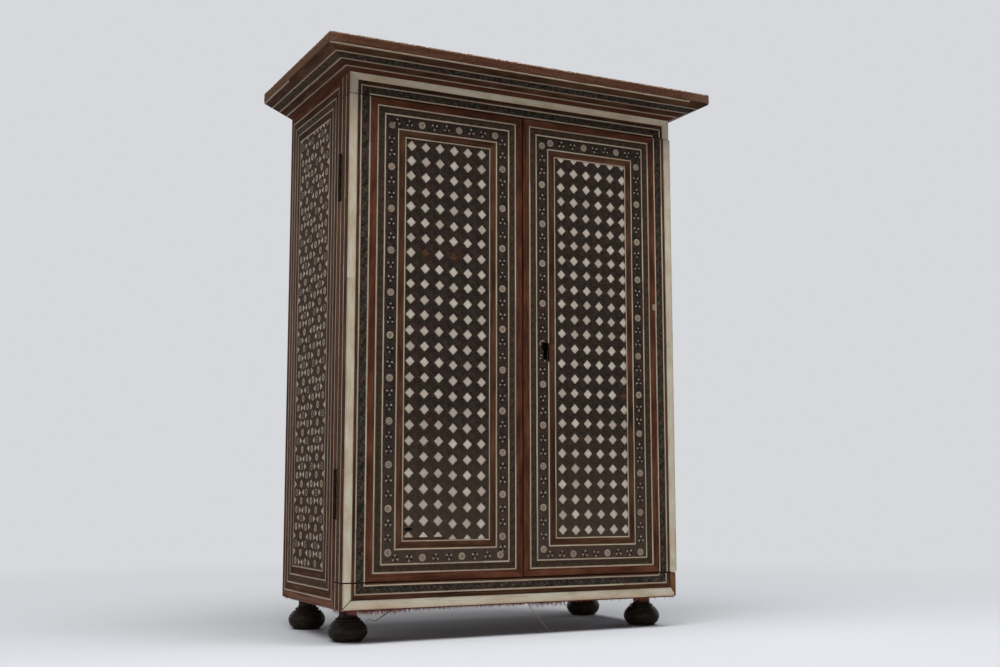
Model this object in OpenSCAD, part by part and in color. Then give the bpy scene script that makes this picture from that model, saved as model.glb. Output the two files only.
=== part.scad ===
// Small table cabinet with two doors, a flared cornice and four turned bun feet.
// The fronts and sides are laid with bands, white stringing and inlaid fields.
// Millimetres, +Z up, the doors face -Y, the feet stand on z = 0.

/* [Body] */
// Width of the body across its two sides
body_w = 260; // [220:1:340]
// Depth of the body from the door faces to the back
body_d = 129; // [110:1:200]
// Height of the body from its underside to the top of the frieze
body_h = 360.5; // [300:0.5:480]
// Thickness of the two side boards
side_t = 9; // [7:0.5:14]
// Thickness of the top board and the bottom board
deck_t = 11; // [9:0.5:16]
// Thickness of the back panel
back_t = 5; // [3:0.5:8]
// How far the back panel is let into the boards around it
back_lap = 4; // [2:0.5:5]
// Thickness of the shelves
shelf_t = 6; // [4:0.5:9]
// Depth of the housings that hold the shelves
housing_d = 3; // [1:0.5:5]
// Height of the lower shelf above the bottom board
lower_shelf_z = 108; // [60:1:125]
// Height of the upper shelf above the bottom board
upper_shelf_z = 222; // [150:1:240]
// Distance from the doors back to the front of the shelves
shelf_setback = 14; // [10:1:30]

/* [Fronts] */
// Height of the fixed frieze above the doors
frieze_h = 14.7; // [14.5:0.1:24]
// Height of the fixed plinth below the doors
plinth_h = 17; // [17:0.5:30]
// Whole thickness of a door, its inlaid face included
door_t = 16; // [14:0.5:20]
// Thickness of the inlaid face on the doors and rails
face_t = 1.2; // [0.8:0.1:2]
// Gap above and below each door
door_gap = 0.5; // [0.3:0.1:1]
// Gap between the two doors where they meet
seam_gap = 0.8; // [0.5:0.1:1.5]
// How far the meeting line lies to the right of the middle
seam_x = 2.5; // [-10:0.5:10]
// How far the right door stands out past the carcass side
right_overhang = 1; // [0:0.1:1.5]
// Gap between the back of a door and the carcass
carcass_gap = 0.3; // [0.2:0.1:0.6]

/* [Inlay] */
// Width of the white stringing lines
line_w = 1; // [0.6:0.1:1.4]
// Width of the upright edging strips at the outer corners
edging_w = 6; // [4:0.5:8]
// Height of the edging strip along the plinth
plinth_edging_h = 6; // [4:0.5:7]
// Height of the edging strip along the frieze
frieze_edging_h = 5; // [4:0.5:5.5]
// Width of the brown fillet beside the upright edging
fillet_w = 2; // [1:0.1:3]
// Height of the brown fillet above the plinth edging
plinth_fillet_h = 3.3; // [2:0.1:3.6]
// Height of the brown fillet below the frieze edging
frieze_fillet_h = 2.8; // [1:0.1:3.2]
// Width of the upright mosaic strips
mosaic_w = 5.4; // [4:0.1:7]
// Height of the mosaic strip on the plinth and the frieze
rail_mosaic_h = 4.6; // [3:0.1:4.8]
// Width of the red wood border of a door panel
red_w = 5; // [4:0.1:7]
// Width of the dark band inside the red border
dark_w = 4.4; // [3:0.1:6]
// Width of the band that holds the small rings and trefoils
motif_w = 8.7; // [7:0.1:11]
// Width of the brown band round the field
inner_w = 4.4; // [3:0.1:6]
// Thickness of the inlaid sheets on the two sides
side_face_t = 1; // [0.6:0.1:1.6]
// Width of each of the four bands round a side field
side_band_w = 4.9; // [3:0.1:6]

/* [Cornice] */
// How far the cornice stands out from the body
cornice_out = 22.5; // [16:0.5:30]
// Height of the sloping underside of the cornice
slope_h = 10; // [8:0.1:16]
// Height of the upright fascia at the edge of the cornice
fascia_h = 7.8; // [6.5:0.1:12]
// Width of the cornice mouldings inside the body line
cornice_in = 14; // [10:0.5:18]
// Thickness of the top panel between the mouldings
panel_t = 6; // [4:0.5:6.5]
// Width of the ledge that carries the top panel
panel_ledge = 5; // [3:0.5:8]
// Width of the plain wood at the foot of the cornice slope
slope_plain_w = 4.7; // [3:0.1:9]
// Widths of the three bands that follow it up the slope
slope_brown_w = 5.1; // [3:0.1:6]
slope_mosaic_w = 5.2; // [4:0.1:6]
// Thickness of the inlay on the slope
slope_face_t = 1; // [0.6:0.1:1.4]

/* [Feet] */
// Height of the feet
foot_h = 22.5; // [21:0.5:30]
// Largest radius of a foot
foot_r = 13.4; // [11:0.1:16]
// Radius of the rounding of the bulb below its widest part
bulb_r = 6.8; // [6:0.1:8]
// Radius of the rounding of the bulb above its widest part
shoulder_r = 6.4; // [5.8:0.1:10]
// Radius of the base that stands on the surface
foot_base_r = 8; // [7.2:0.1:9]
// Radius of the neck below the body
neck_r = 6.2; // [5:0.1:8]
// Radius of the dowel on top of a foot
dowel_r = 4; // [3:0.5:4.5]
// Length of the dowel
dowel_h = 8; // [5:0.5:8.5]
// Radial clearance of the dowel in its hole
dowel_clear = 0.05; // [0.02:0.01:0.1]
// Distance from the side of the body to a foot's middle
foot_inset_x = 13.5; // [13.5:0.5:30]
// Distance from the door face to a front foot's middle
foot_inset_front = 26; // [21.5:0.5:40]
// Distance from the back to a back foot's middle
foot_inset_back = 17; // [14:0.5:40]
// Thickness of the baize under the body
baize_t = 0.8; // [0.5:0.1:1.5]
// Width of bare wood round the baize
baize_inset = 0.6; // [0:0.1:4]
// Gap between the baize and a foot's neck
baize_clear = 0.4; // [0.3:0.1:1]

/* [Hinges] */
// Length of a hinge
hinge_l = 32.7; // [24:0.1:45]
// Radius of the hinge knuckles
knuckle_r = 1.2; // [1.1:0.1:3]
// Radius of the hinge pin
pin_r = 0.5; // [0.4:0.1:1]
// Radial clearance between pin and knuckle
pin_clear = 0.05; // [0.02:0.01:0.1]
// How far the pin stands out from the edge of its door
pin_out = 0.6; // [0.5:0.1:2]
// Width of a hinge leaf from the pin inwards
leaf_w = 9.5; // [8.5:0.5:10]
// Thickness of a hinge leaf
leaf_t = 1.2; // [1:0.1:1.6]
// Number of knuckles on a hinge
knuckles = 5; // [3:2:7]
// Gap between neighbouring knuckles and round the hinge
knuckle_gap = 0.3; // [0.2:0.05:0.4]
// Height of the lower hinges' middle above the underside
lower_hinge_z = 74.7; // [45:0.1:110]
// Distance from the top of the frieze down to the upper hinges' middle
upper_hinge_drop = 70.7; // [45:0.1:110]

/* [Screws] */
// Radius of a screw's shank
screw_r = 0.9; // [0.6:0.1:1]
// Radius of a screw's head
screw_head_r = 1.7; // [1.3:0.1:1.9]
// Thickness of a screw's head
screw_head_t = 0.8; // [0.5:0.1:0.9]
// Length of a screw below its head
screw_l = 6; // [4:0.5:6.5]
// Clearance round a screw
screw_clear = 0.05; // [0.02:0.01:0.1]

/* [Lock] */
// Height of the keyhole above the underside
key_z = 179.3; // [120:0.1:220]
// Distance from the meeting edge to the keyhole
key_x = 18; // [14:0.5:20]
// Radius of the round part of the keyhole
key_r = 3.3; // [2.5:0.1:3.8]
// Width of the slot below it
key_slot_w = 3.4; // [2:0.1:4]
// Distance from the keyhole's middle to the end of its slot
key_slot_l = 9.2; // [7:0.1:10]
// Length of the lock case along the door
lock_l = 30; // [29:0.5:36]
// Height of the lock case below the keyhole's middle
lock_below = 12; // [11:0.5:14]
// Height of the lock case above the keyhole's middle
lock_above = 18; // [17:0.5:22]
// Depth of the lock case
lock_d = 9; // [8.5:0.5:10]
// Wall thickness of the lock case
lock_wall = 1.2; // [0.8:0.1:1.5]
// Thickness of the lock's face plate in the door edge
selvedge_t = 1.6; // [1:0.1:1.8]
// How far the face plate reaches past the case at each end
selvedge_ear = 6; // [5.5:0.5:9]
// Length of the lock bolt
lock_bolt_l = 24; // [23:0.5:24.5]
// Height of the lock bolt
lock_bolt_h = 8; // [6:0.5:8]
// Thickness of the lock bolt
lock_bolt_t = 4; // [3:0.1:5]
// Height of the bolt's lower edge above the keyhole's middle
lock_bolt_z = 6; // [5:0.5:6]
// Distance from the meeting edge to the stud that guides the bolt
stud_inset = 12; // [10:0.5:13]
// Travel of the lock bolt
lock_travel = 6; // [4:0.5:6]
// Clearance round the lock bolt
lock_clear = 0.15; // [0.1:0.01:0.3]
// Radius of the key post and of the guide stud
post_r = 1.2; // [0.8:0.1:1.4]
// Thickness of the lock spring
spring_t = 0.7; // [0.4:0.1:0.9]
// Thickness of the strike plate
strike_t = 1.2; // [0.8:0.1:1.6]

/* [Shoot bolts] */
// Radius of a shoot bolt's rod
rod_r = 2; // [1.5:0.1:2.4]
// Length of a shoot bolt's rod
rod_l = 52; // [48:1:70]
// Travel of a shoot bolt
rod_travel = 12; // [12:0.5:14]
// Radial clearance of the rod in its guides
rod_clear = 0.1; // [0.05:0.01:0.15]
// Radial clearance of the rod in its socket
socket_clear = 0.4; // [0.3:0.1:0.8]
// Distance from the meeting edge of the left door to the rods
rod_inset = 14; // [10:0.5:20]
// Width of the plate and the guides
guide_w = 12; // [10:0.5:16]
// Length of the plate behind a rod
guide_plate_l = 46; // [44:1:60]
// Thickness of that plate
guide_plate_t = 1.2; // [0.8:0.1:1.6]
// Length of each guide along the rod
guide_l = 5; // [3:0.5:6]
// Radius of the small knob on a rod
knob_r = 2.5; // [2:0.1:3]
// How far the knob stands out from the rod's middle
knob_out = 6; // [4:0.5:7]

/* [Hidden] */
$fn = 64;

// colours, as the wood, bone, metal and cloth show
red_wood = [0.33, 0.13, 0.09];
brown_wood = [0.24, 0.14, 0.10];
dark_wood = [0.10, 0.07, 0.06];
core_wood = [0.42, 0.27, 0.17];
bone = [0.86, 0.80, 0.68];
mosaic = [0.20, 0.20, 0.19];
old_brass = [0.42, 0.34, 0.18];
iron = [0.20, 0.18, 0.17];
red_cloth = [0.36, 0.04, 0.05];

// main planes
half_w = body_w / 2;
front_y = -(body_d - cornice_out) / 2;
back_y = front_y + body_d;
base_z = foot_h;
top_z = base_z + body_h;
door_back_y = front_y + door_t;
carcass_y = door_back_y + carcass_gap;
core_half_w = half_w - side_face_t;
inner_half_w = core_half_w - side_t;
floor_z = base_z + deck_t;
ceiling_z = top_z - deck_t;
shelf_y = door_back_y + shelf_setback;
back_face_y = back_y - back_t;

// doors: outer edge, meeting edge, bottom and top
left_outer_x = -half_w;
left_meet_x = seam_x - seam_gap / 2;
right_outer_x = half_w + right_overhang;
right_meet_x = seam_x + seam_gap / 2;
door_low_z = base_z + plinth_h + door_gap;
door_high_z = top_z - frieze_h - door_gap;
door_h = door_high_z - door_low_z;

// insets of the frame of strips round the whole front: side, bottom, top
frame_edging = [edging_w, plinth_edging_h, frieze_edging_h];
frame_fillet = frame_edging + [fillet_w, plinth_fillet_h, frieze_fillet_h];
frame_line = frame_fillet + [line_w, line_w, line_w];
frame_mosaic = frame_line + [mosaic_w, rail_mosaic_h, rail_mosaic_h];
frame_end = frame_mosaic + [line_w, line_w, line_w];
frame_none = [0, 0, 0];

// insets of the nested rings of a door panel, from its own edge
ring_red = red_w;
ring_dark = ring_red + line_w + dark_w;
ring_motif = ring_dark + line_w + motif_w;
ring_inner = ring_motif + line_w + inner_w;
ring_field = ring_inner + line_w;

// insets of the rings on a side
side_step = side_band_w + line_w;
side_rings = 4;

// cornice slope
slope_len = norm([cornice_out, slope_h]);
slope_dir = [cornice_out, slope_h] / slope_len;
slope_in = [-slope_h, cornice_out] / slope_len;
cornice_h = slope_h + fascia_h;
slope_marks = [
    slope_plain_w,
    slope_plain_w + line_w,
    slope_plain_w + line_w + slope_brown_w,
    slope_plain_w + 2 * line_w + slope_brown_w,
    slope_plain_w + 2 * line_w + slope_brown_w + slope_mosaic_w,
    slope_plain_w + 3 * line_w + slope_brown_w + slope_mosaic_w,
    slope_len - line_w,
    slope_len
];

// rings turned on a foot: radius, inset from the bulb, height over it, step
ring_r = 0.8;
upper_ring_in = 4.6;
lower_ring_in = 3;
ring_rise = 5.6;
ring_step = 1.8;

// hinges
upper_hinge_z = top_z - upper_hinge_drop;
low_hinge_z = base_z + lower_hinge_z;
hinge_y = (door_back_y + carcass_y) / 2;
left_pin_x = left_outer_x - pin_out;
right_pin_x = right_outer_x + pin_out;
knuckle_l = (hinge_l - (knuckles - 1) * knuckle_gap) / knuckles;
leaf_end = leaf_w - pin_out;
screw_spread = hinge_l / 4;
cut = 0.01;

// lock
lock_z = base_z + key_z;
lock_front_y = door_back_y - lock_d;
lock_bolt_y = door_back_y - lock_d / 2;
key_mid_x = right_meet_x + key_x;
stud_x = right_meet_x + stud_inset;
bolt_back = 0.3;
talon_end = 1;
talon_w = 5;
talon_h = 3;
spring_start = 5;
spring_rise = 1.6;
pocket_spare = 1;
pocket_deep = lock_travel + pocket_spare;

// shoot bolts
rod_x = left_meet_x - rod_inset;
rod_y = door_back_y + guide_plate_t + carcass_gap + rod_r;
rod_edge_gap = 0.5;
guide_wall = 1.5;
guide_cap = 1.2;
knob_gap = 1;
upper_rod_top = door_high_z - rod_edge_gap;
lower_rod_low = door_low_z + rod_edge_gap;
socket_extra = 1;
guide_low = -guide_plate_l;
guide_screw_gap = 4;
guide_screw_edge = 0.5;
screw_z = [-guide_l - guide_screw_gap, guide_low + guide_l + guide_screw_gap];

// a block between two corners
module block(low, high) {
    translate(low) cube(high - low);
}

// a flat drawing in x and z, made face_t thick at the front of the doors
module on_front(thick) {
    translate([0, front_y + thick, 0]) rotate([90, 0, 0]) linear_extrude(thick) children();
}

// carcass

module housings() {
    for (z = [lower_shelf_z, upper_shelf_z])
        block(
            [inner_half_w - cut, shelf_y, floor_z + z],
            [inner_half_w + housing_d, back_face_y + cut, floor_z + z + shelf_t]
        );
}

module side_board(s, pin_x) {
    color(core_wood) difference() {
        scale_x(s) difference() {
            block([inner_half_w, carcass_y, floor_z], [core_half_w, back_y, ceiling_z]);
            housings();
            block(
                [inner_half_w - cut, back_face_y, floor_z - cut],
                [inner_half_w + back_lap, back_y + cut, ceiling_z + cut]
            );
        }
        hinge_cuts(s, pin_x, 1);
    }
}

// mirrors what follows to the left when s is -1
module scale_x(s) {
    if (s < 0) mirror([1, 0, 0]) children();
    else children();
}

module left_side_board() {
    side_board(-1, left_pin_x);
}

module right_side_board() {
    side_board(1, right_pin_x);
}

// the top board and the bottom board, which close the sides
module deck(low_z) {
    block([-core_half_w, carcass_y, low_z], [core_half_w, back_y, low_z + deck_t]);
}

module back_rebate() {
    block(
        [-inner_half_w - back_lap, back_face_y, floor_z - back_lap],
        [inner_half_w + back_lap, back_y + cut, ceiling_z + back_lap]
    );
}

module top_board() {
    color(core_wood) difference() {
        deck(ceiling_z);
        back_rebate();
        translate([rod_x, rod_y, ceiling_z - cut])
            cylinder(r = rod_r + socket_clear, h = socket_depth_up() + cut);
    }
}

function socket_depth_up() = upper_rod_top + rod_travel - ceiling_z + socket_extra;
function socket_depth_down() = floor_z - (lower_rod_low - rod_travel) + socket_extra;

module bottom_board() {
    color(core_wood) difference() {
        deck(base_z);
        back_rebate();
        translate([rod_x, rod_y, floor_z - socket_depth_down()])
            cylinder(r = rod_r + socket_clear, h = socket_depth_down() + cut);
        at_feet()
            translate([0, 0, base_z - cut]) cylinder(r = dowel_r + dowel_clear, h = dowel_h + 2 * cut);
    }
}

module back_panel() {
    color(core_wood) block(
        [-inner_half_w - back_lap, back_face_y, floor_z - back_lap],
        [inner_half_w + back_lap, back_y, ceiling_z + back_lap]
    );
}

module shelf(z) {
    color(core_wood) block(
        [-inner_half_w - housing_d, shelf_y, floor_z + z],
        [inner_half_w + housing_d, back_face_y, floor_z + z + shelf_t]
    );
}

module upper_shelf() {
    shelf(upper_shelf_z);
}

module lower_shelf() {
    shelf(lower_shelf_z);
}

module frieze_rail() {
    color(red_wood)
        block([-half_w, front_y + face_t, top_z - frieze_h], [half_w, carcass_y, top_z]);
}

module plinth_rail() {
    color(red_wood)
        block([-half_w, front_y + face_t, base_z], [half_w, carcass_y, base_z + plinth_h]);
}

// strips round the front, cut to the frieze and the plinth

module frame_area(inset) {
    translate([-half_w + inset[0], base_z + inset[1]])
        square([body_w - 2 * inset[0], body_h - inset[1] - inset[2]]);
}

module rail_area() {
    translate([-half_w, base_z]) square([body_w, plinth_h]);
    translate([-half_w, top_z - frieze_h]) square([body_w, frieze_h]);
}

module frame_ring(outside, inside) {
    on_front(face_t) intersection() {
        rail_area();
        difference() {
            frame_area(outside);
            frame_area(inside);
        }
    }
}

module rail_edging() {
    color(bone) frame_ring(frame_none, frame_edging);
}

module rail_bands() {
    color(brown_wood) {
        frame_ring(frame_edging, frame_fillet);
        on_front(face_t) intersection() {
            rail_area();
            frame_area(frame_end);
        }
    }
    color(mosaic) frame_ring(frame_line, frame_mosaic);
}

module rail_stringing() {
    color(bone) {
        frame_ring(frame_fillet, frame_line);
        frame_ring(frame_mosaic, frame_end);
    }
}

// sides

// a flat drawing in y and z on the outside of a side
module on_side(s) {
    x = s > 0 ? core_half_w : -half_w;
    translate([x, 0, 0]) rotate([90, 0, 90]) linear_extrude(side_face_t) children();
}

module side_area(inset) {
    translate([carcass_y + inset, base_z + inset])
        square([back_y - carcass_y - 2 * inset, body_h - 2 * inset]);
}

module side_ring(s, outside, inside) {
    on_side(s) difference() {
        side_area(outside);
        side_area(inside);
        side_hinge_area(s);
    }
}

// room for the knuckles where they reach past the side's front edge
module side_hinge_area(s) {
    reach = knuckle_r + knuckle_gap;
    for (z = [low_hinge_z, upper_hinge_z])
        translate([hinge_y - reach, z - hinge_l / 2 - knuckle_gap])
            square([2 * reach, hinge_l + 2 * knuckle_gap]);
}

module side_bands(s) {
    for (i = [0 : side_rings - 1])
        color(i == 2 ? mosaic : i == 0 ? red_wood : brown_wood)
            side_ring(s, i * side_step, i * side_step + side_band_w);
}

module side_stringing(s) {
    color(bone)
        for (i = [0 : side_rings - 1]) side_ring(s, i * side_step + side_band_w, (i + 1) * side_step);
}

module side_field(s) {
    color(dark_wood) on_side(s) side_area(side_rings * side_step);
}

module left_side_bands() {
    side_bands(-1);
}

module right_side_bands() {
    side_bands(1);
}

module left_side_stringing() {
    side_stringing(-1);
}

module right_side_stringing() {
    side_stringing(1);
}

module left_side_field() {
    side_field(-1);
}

module right_side_field() {
    side_field(1);
}

// cornice

// a profile of offset and height, run along the front and mitred at both ends
module front_run() {
    reach = half_w + cornice_out;
    intersection() {
        translate([-reach, front_y, top_z])
            rotate([90, 0, 90]) linear_extrude(2 * reach) mirror([1, 0]) children();
        translate([0, front_y, top_z - cut]) linear_extrude(cornice_h + 2 * cut) polygon([
            [-reach, -cornice_out],
            [reach, -cornice_out],
            [half_w - cornice_in, cornice_in],
            [-half_w + cornice_in, cornice_in]
        ]);
    }
}

// the same profile run back along a side, mitred at the front
module side_run(s) {
    scale_x(s) intersection() {
        translate([half_w, back_y, top_z])
            rotate([90, 0, 0]) linear_extrude(body_d + cornice_out) children();
        translate([half_w, front_y, top_z - cut]) linear_extrude(cornice_h + 2 * cut) polygon([
            [cornice_out, -cornice_out],
            [cornice_out, body_d],
            [-cornice_in, body_d],
            [-cornice_in, cornice_in]
        ]);
    }
}

function on_slope(along, deep) = along * slope_dir + deep * slope_in;

module cornice_core() {
    polygon([
        [-cornice_in, 0],
        [0, 0],
        on_slope(slope_plain_w, 0),
        on_slope(slope_plain_w, slope_face_t),
        [cornice_out, slope_h + slope_face_t / slope_dir[0]],
        [cornice_out, cornice_h],
        [-cornice_in + panel_ledge, cornice_h],
        [-cornice_in + panel_ledge, cornice_h - panel_t],
        [-cornice_in, cornice_h - panel_t]
    ]);
}

// one strip laid on the slope; the last one ends upright at the fascia
module slope_strip(i) {
    low = slope_marks[i];
    high = slope_marks[i + 1];
    last = i == len(slope_marks) - 2;
    polygon([
        on_slope(low, 0),
        on_slope(high, 0),
        last ? [cornice_out, slope_h + slope_face_t / slope_dir[0]] : on_slope(high, slope_face_t),
        on_slope(low, slope_face_t)
    ]);
}

module cornice_front() {
    color(red_wood) front_run() cornice_core();
}

module cornice_left() {
    color(red_wood) side_run(-1) cornice_core();
}

module cornice_right() {
    color(red_wood) side_run(1) cornice_core();
}

module slope_strips(i) {
    front_run() slope_strip(i);
    side_run(-1) slope_strip(i);
    side_run(1) slope_strip(i);
}

module cornice_bands() {
    for (i = [1 : 2 : len(slope_marks) - 2])
        color(i == 3 ? mosaic : brown_wood) slope_strips(i);
}

module cornice_stringing() {
    color(bone) for (i = [0 : 2 : len(slope_marks) - 2]) slope_strips(i);
}

module cornice_back() {
    color(core_wood) block(
        [-half_w + cornice_in, back_y - cornice_in, top_z],
        [half_w - cornice_in, back_y, top_z + cornice_h - panel_t]
    );
}

module top_panel() {
    edge = half_w - cornice_in + panel_ledge;
    color(red_wood) block(
        [-edge, front_y + cornice_in - panel_ledge, top_z + cornice_h - panel_t],
        [edge, back_y, top_z + cornice_h]
    );
}

// feet and baize

module at_feet() {
    for (x = [-1, 1], back = [0, 1]) at_foot(x, back) children();
}

module at_foot(x, back) {
    y = back ? back_y - foot_inset_back : front_y + foot_inset_front;
    translate([x * (half_w - foot_inset_x), y, 0]) children();
}

// outline of a turned foot: bulb, two rings, hollow neck and dowel
module foot_outline() {
    upper_ring_r = foot_r - upper_ring_in;
    lower_ring_r = foot_r - lower_ring_in;
    lower_ring_z = bulb_r + ring_rise;
    upper_ring_z = lower_ring_z + ring_step;
    neck_low = upper_ring_z + ring_r;
    flare = upper_ring_r - neck_r;
    square([foot_base_r, bulb_r]);
    intersection() {
        translate([foot_r - bulb_r, bulb_r]) circle(bulb_r);
        square([foot_r, bulb_r]);
    }
    translate([0, bulb_r]) intersection() {
        translate([foot_r - shoulder_r, 0]) circle(shoulder_r);
        square([foot_r, ring_rise]);
    }
    translate([0, bulb_r]) square([lower_ring_r - ring_r, ring_rise + ring_r]);
    translate([lower_ring_r - ring_r, lower_ring_z]) circle(ring_r);
    square([upper_ring_r - ring_r, neck_low]);
    translate([upper_ring_r - ring_r, upper_ring_z]) circle(ring_r);
    difference() {
        square([upper_ring_r - ring_r, neck_low + flare]);
        translate([upper_ring_r, neck_low + flare]) circle(flare);
    }
    square([neck_r, foot_h]);
    square([dowel_r, foot_h + dowel_h]);
}

module foot() {
    color(dark_wood) rotate_extrude() foot_outline();
}

module front_left_foot() {
    at_foot(-1, 0) foot();
}

module front_right_foot() {
    at_foot(1, 0) foot();
}

module back_left_foot() {
    at_foot(-1, 1) foot();
}

module back_right_foot() {
    at_foot(1, 1) foot();
}

module base_baize() {
    color(red_cloth) difference() {
        block(
            [-half_w + baize_inset, front_y + baize_inset, base_z - baize_t],
            [half_w - baize_inset, back_y - baize_inset, base_z]
        );
        at_feet() translate([0, 0, base_z - baize_t - cut])
            cylinder(r = neck_r + baize_clear, h = baize_t + 2 * cut);
    }
}

// hinges: dir is 1 where the wood lies towards +X of the pin, deep is 1 behind the pin

module at_hinges(pin_x) {
    for (z = [low_hinge_z, upper_hinge_z]) translate([pin_x, hinge_y, z]) children();
}

// the plate of a leaf from start inwards
module leaf_plate(dir, deep, start, margin) {
    gap = carcass_gap / 2;
    xs = [dir * start, dir * leaf_w];
    ys = [deep * (gap - margin), deep * (gap + leaf_t)];
    block(
        [min(xs), min(ys), -hinge_l / 2 - margin],
        [max(xs), max(ys), hinge_l / 2 + margin]
    );
}

// room for a leaf and its knuckles in the board behind it
module hinge_cuts(s, pin_x, deep) {
    dir = -s;
    at_hinges(pin_x) {
        leaf_plate(dir, deep, 0, cut);
        translate([0, 0, -hinge_l / 2 - knuckle_gap])
            cylinder(r = knuckle_r + knuckle_gap, h = hinge_l + 2 * knuckle_gap);
        for (z = [-1, 1]) leaf_screw_hole(dir, deep, z);
    }
}

module leaf_screw_place(dir, deep, z) {
    x = dir * (pin_out + knuckle_r + (leaf_w - pin_out - knuckle_r) / 2);
    translate([x, deep * (carcass_gap / 2), z * screw_spread])
        rotate([deep > 0 ? -90 : 90, 0, 0]) children();
}

module leaf_screw_hole(dir, deep, z) {
    leaf_screw_place(dir, deep, z) cylinder(r = screw_r + screw_clear, h = screw_head_t + screw_l + cut);
}

// one knuckle of a hinge, counted from below
module knuckle(i, r, extra) {
    translate([0, 0, -hinge_l / 2 + i * (knuckle_l + knuckle_gap) - extra])
        cylinder(r = r, h = knuckle_l + 2 * extra);
}

// a leaf with every second knuckle, starting with the one numbered first
module leaf(dir, deep, first) {
    difference() {
        union() {
            leaf_plate(dir, deep, knuckle_r + knuckle_gap, 0);
            for (i = [first : 2 : knuckles - 1]) {
                knuckle(i, knuckle_r, 0);
                intersection() {
                    leaf_plate(dir, deep, 0, 0);
                    knuckle(i, 2 * knuckle_r, 0);
                }
            }
        }
        translate([0, 0, -hinge_l]) cylinder(r = pin_r + pin_clear, h = 2 * hinge_l);
        for (z = [-1, 1])
            leaf_screw_place(dir, deep, z) {
                translate([0, 0, -cut]) cylinder(r = screw_r + screw_clear, h = 2 * leaf_t);
                translate([0, 0, -cut])
                    cylinder(r = screw_head_r + screw_clear, h = cut + screw_head_t + screw_clear);
            }
    }
}

module frame_leaf(pin_x, z, dir) {
    color(iron) translate([pin_x, hinge_y, z]) leaf(dir, 1, 0);
}

module door_leaf(pin_x, z, dir) {
    color(iron) translate([pin_x, hinge_y, z]) leaf(dir, -1, 1);
}

module left_upper_frame_leaf() {
    frame_leaf(left_pin_x, upper_hinge_z, 1);
}

module left_lower_frame_leaf() {
    frame_leaf(left_pin_x, low_hinge_z, 1);
}

module right_upper_frame_leaf() {
    frame_leaf(right_pin_x, upper_hinge_z, -1);
}

module right_lower_frame_leaf() {
    frame_leaf(right_pin_x, low_hinge_z, -1);
}

module left_upper_door_leaf() {
    door_leaf(left_pin_x, upper_hinge_z, 1);
}

module left_lower_door_leaf() {
    door_leaf(left_pin_x, low_hinge_z, 1);
}

module right_upper_door_leaf() {
    door_leaf(right_pin_x, upper_hinge_z, -1);
}

module right_lower_door_leaf() {
    door_leaf(right_pin_x, low_hinge_z, -1);
}

module hinge_pins() {
    color(iron)
        for (x = [left_pin_x, right_pin_x])
            at_hinges(x) translate([0, 0, -hinge_l / 2]) cylinder(r = pin_r, h = hinge_l);
}

module screw() {
    cylinder(r = screw_head_r, h = screw_head_t);
    cylinder(r = screw_r, h = screw_head_t + screw_l);
}

module leaf_screws(pin_x, dir, deep) {
    color(iron) at_hinges(pin_x) for (z = [-1, 1]) leaf_screw_place(dir, deep, z) screw();
}

module frame_leaf_screws() {
    leaf_screws(left_pin_x, 1, 1);
    leaf_screws(right_pin_x, -1, 1);
}

// doors

// upright strip of a door face between two distances from its outer edge
module door_strip(outer_x, dir, from, to) {
    xs = [outer_x + dir * from, outer_x + dir * to];
    on_front(face_t) translate([min(xs), door_low_z]) square([to - from, door_h]);
}

module panel_area(outer_x, meet_x, dir, inset) {
    start = outer_x + dir * frame_end[0];
    translate([min(start, meet_x) + inset, door_low_z + inset])
        square([abs(meet_x - start) - 2 * inset, door_h - 2 * inset]);
}

module panel_ring(outer_x, meet_x, dir, outside, inside) {
    on_front(face_t) difference() {
        panel_area(outer_x, meet_x, dir, outside);
        panel_area(outer_x, meet_x, dir, inside);
    }
}

module door_bands(outer_x, meet_x, dir) {
    color(brown_wood) door_strip(outer_x, dir, frame_edging[0], frame_fillet[0]);
    color(mosaic) door_strip(outer_x, dir, frame_line[0], frame_mosaic[0]);
    color(red_wood) panel_ring(outer_x, meet_x, dir, 0, ring_red);
    color(mosaic) panel_ring(outer_x, meet_x, dir, ring_red + line_w, ring_dark);
    color(dark_wood) panel_ring(outer_x, meet_x, dir, ring_dark + line_w, ring_motif);
    color(brown_wood) panel_ring(outer_x, meet_x, dir, ring_motif + line_w, ring_inner);
}

module door_stringing(outer_x, meet_x, dir) {
    color(bone) {
        door_strip(outer_x, dir, frame_fillet[0], frame_line[0]);
        door_strip(outer_x, dir, frame_mosaic[0], frame_end[0]);
        for (inset = [ring_red, ring_dark, ring_motif, ring_inner])
            panel_ring(outer_x, meet_x, dir, inset, inset + line_w);
    }
}

module door_field(outer_x, meet_x, dir) {
    color(dark_wood) on_front(face_t) panel_area(outer_x, meet_x, dir, ring_field);
}

module door_edging(outer_x, dir) {
    color(bone) door_strip(outer_x, dir, 0, frame_edging[0]);
}

// the plain board behind a door face
module door_core(outer_x, meet_x) {
    block(
        [min(outer_x, meet_x), front_y + face_t, door_low_z],
        [max(outer_x, meet_x), door_back_y, door_high_z]
    );
}

module left_door_board() {
    color(red_wood) difference() {
        door_core(left_outer_x, left_meet_x);
        hinge_cuts(-1, left_pin_x, -1);
        strike_cuts();
        at_guides() guide_screw_holes();
    }
}

module left_door_bands() {
    door_bands(left_outer_x, left_meet_x, 1);
}

module left_door_stringing() {
    door_stringing(left_outer_x, left_meet_x, 1);
}

module left_door_field() {
    door_field(left_outer_x, left_meet_x, 1);
}

module left_door_edging() {
    door_edging(left_outer_x, 1);
}

module right_door_board() {
    color(red_wood) difference() {
        door_core(right_outer_x, right_meet_x);
        hinge_cuts(1, right_pin_x, -1);
        lock_recess();
        keyhole();
    }
}

module right_door_bands() {
    difference() {
        door_bands(right_outer_x, right_meet_x, -1);
        keyhole();
    }
}

module right_door_stringing() {
    difference() {
        door_stringing(right_outer_x, right_meet_x, -1);
        keyhole();
    }
}

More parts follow.
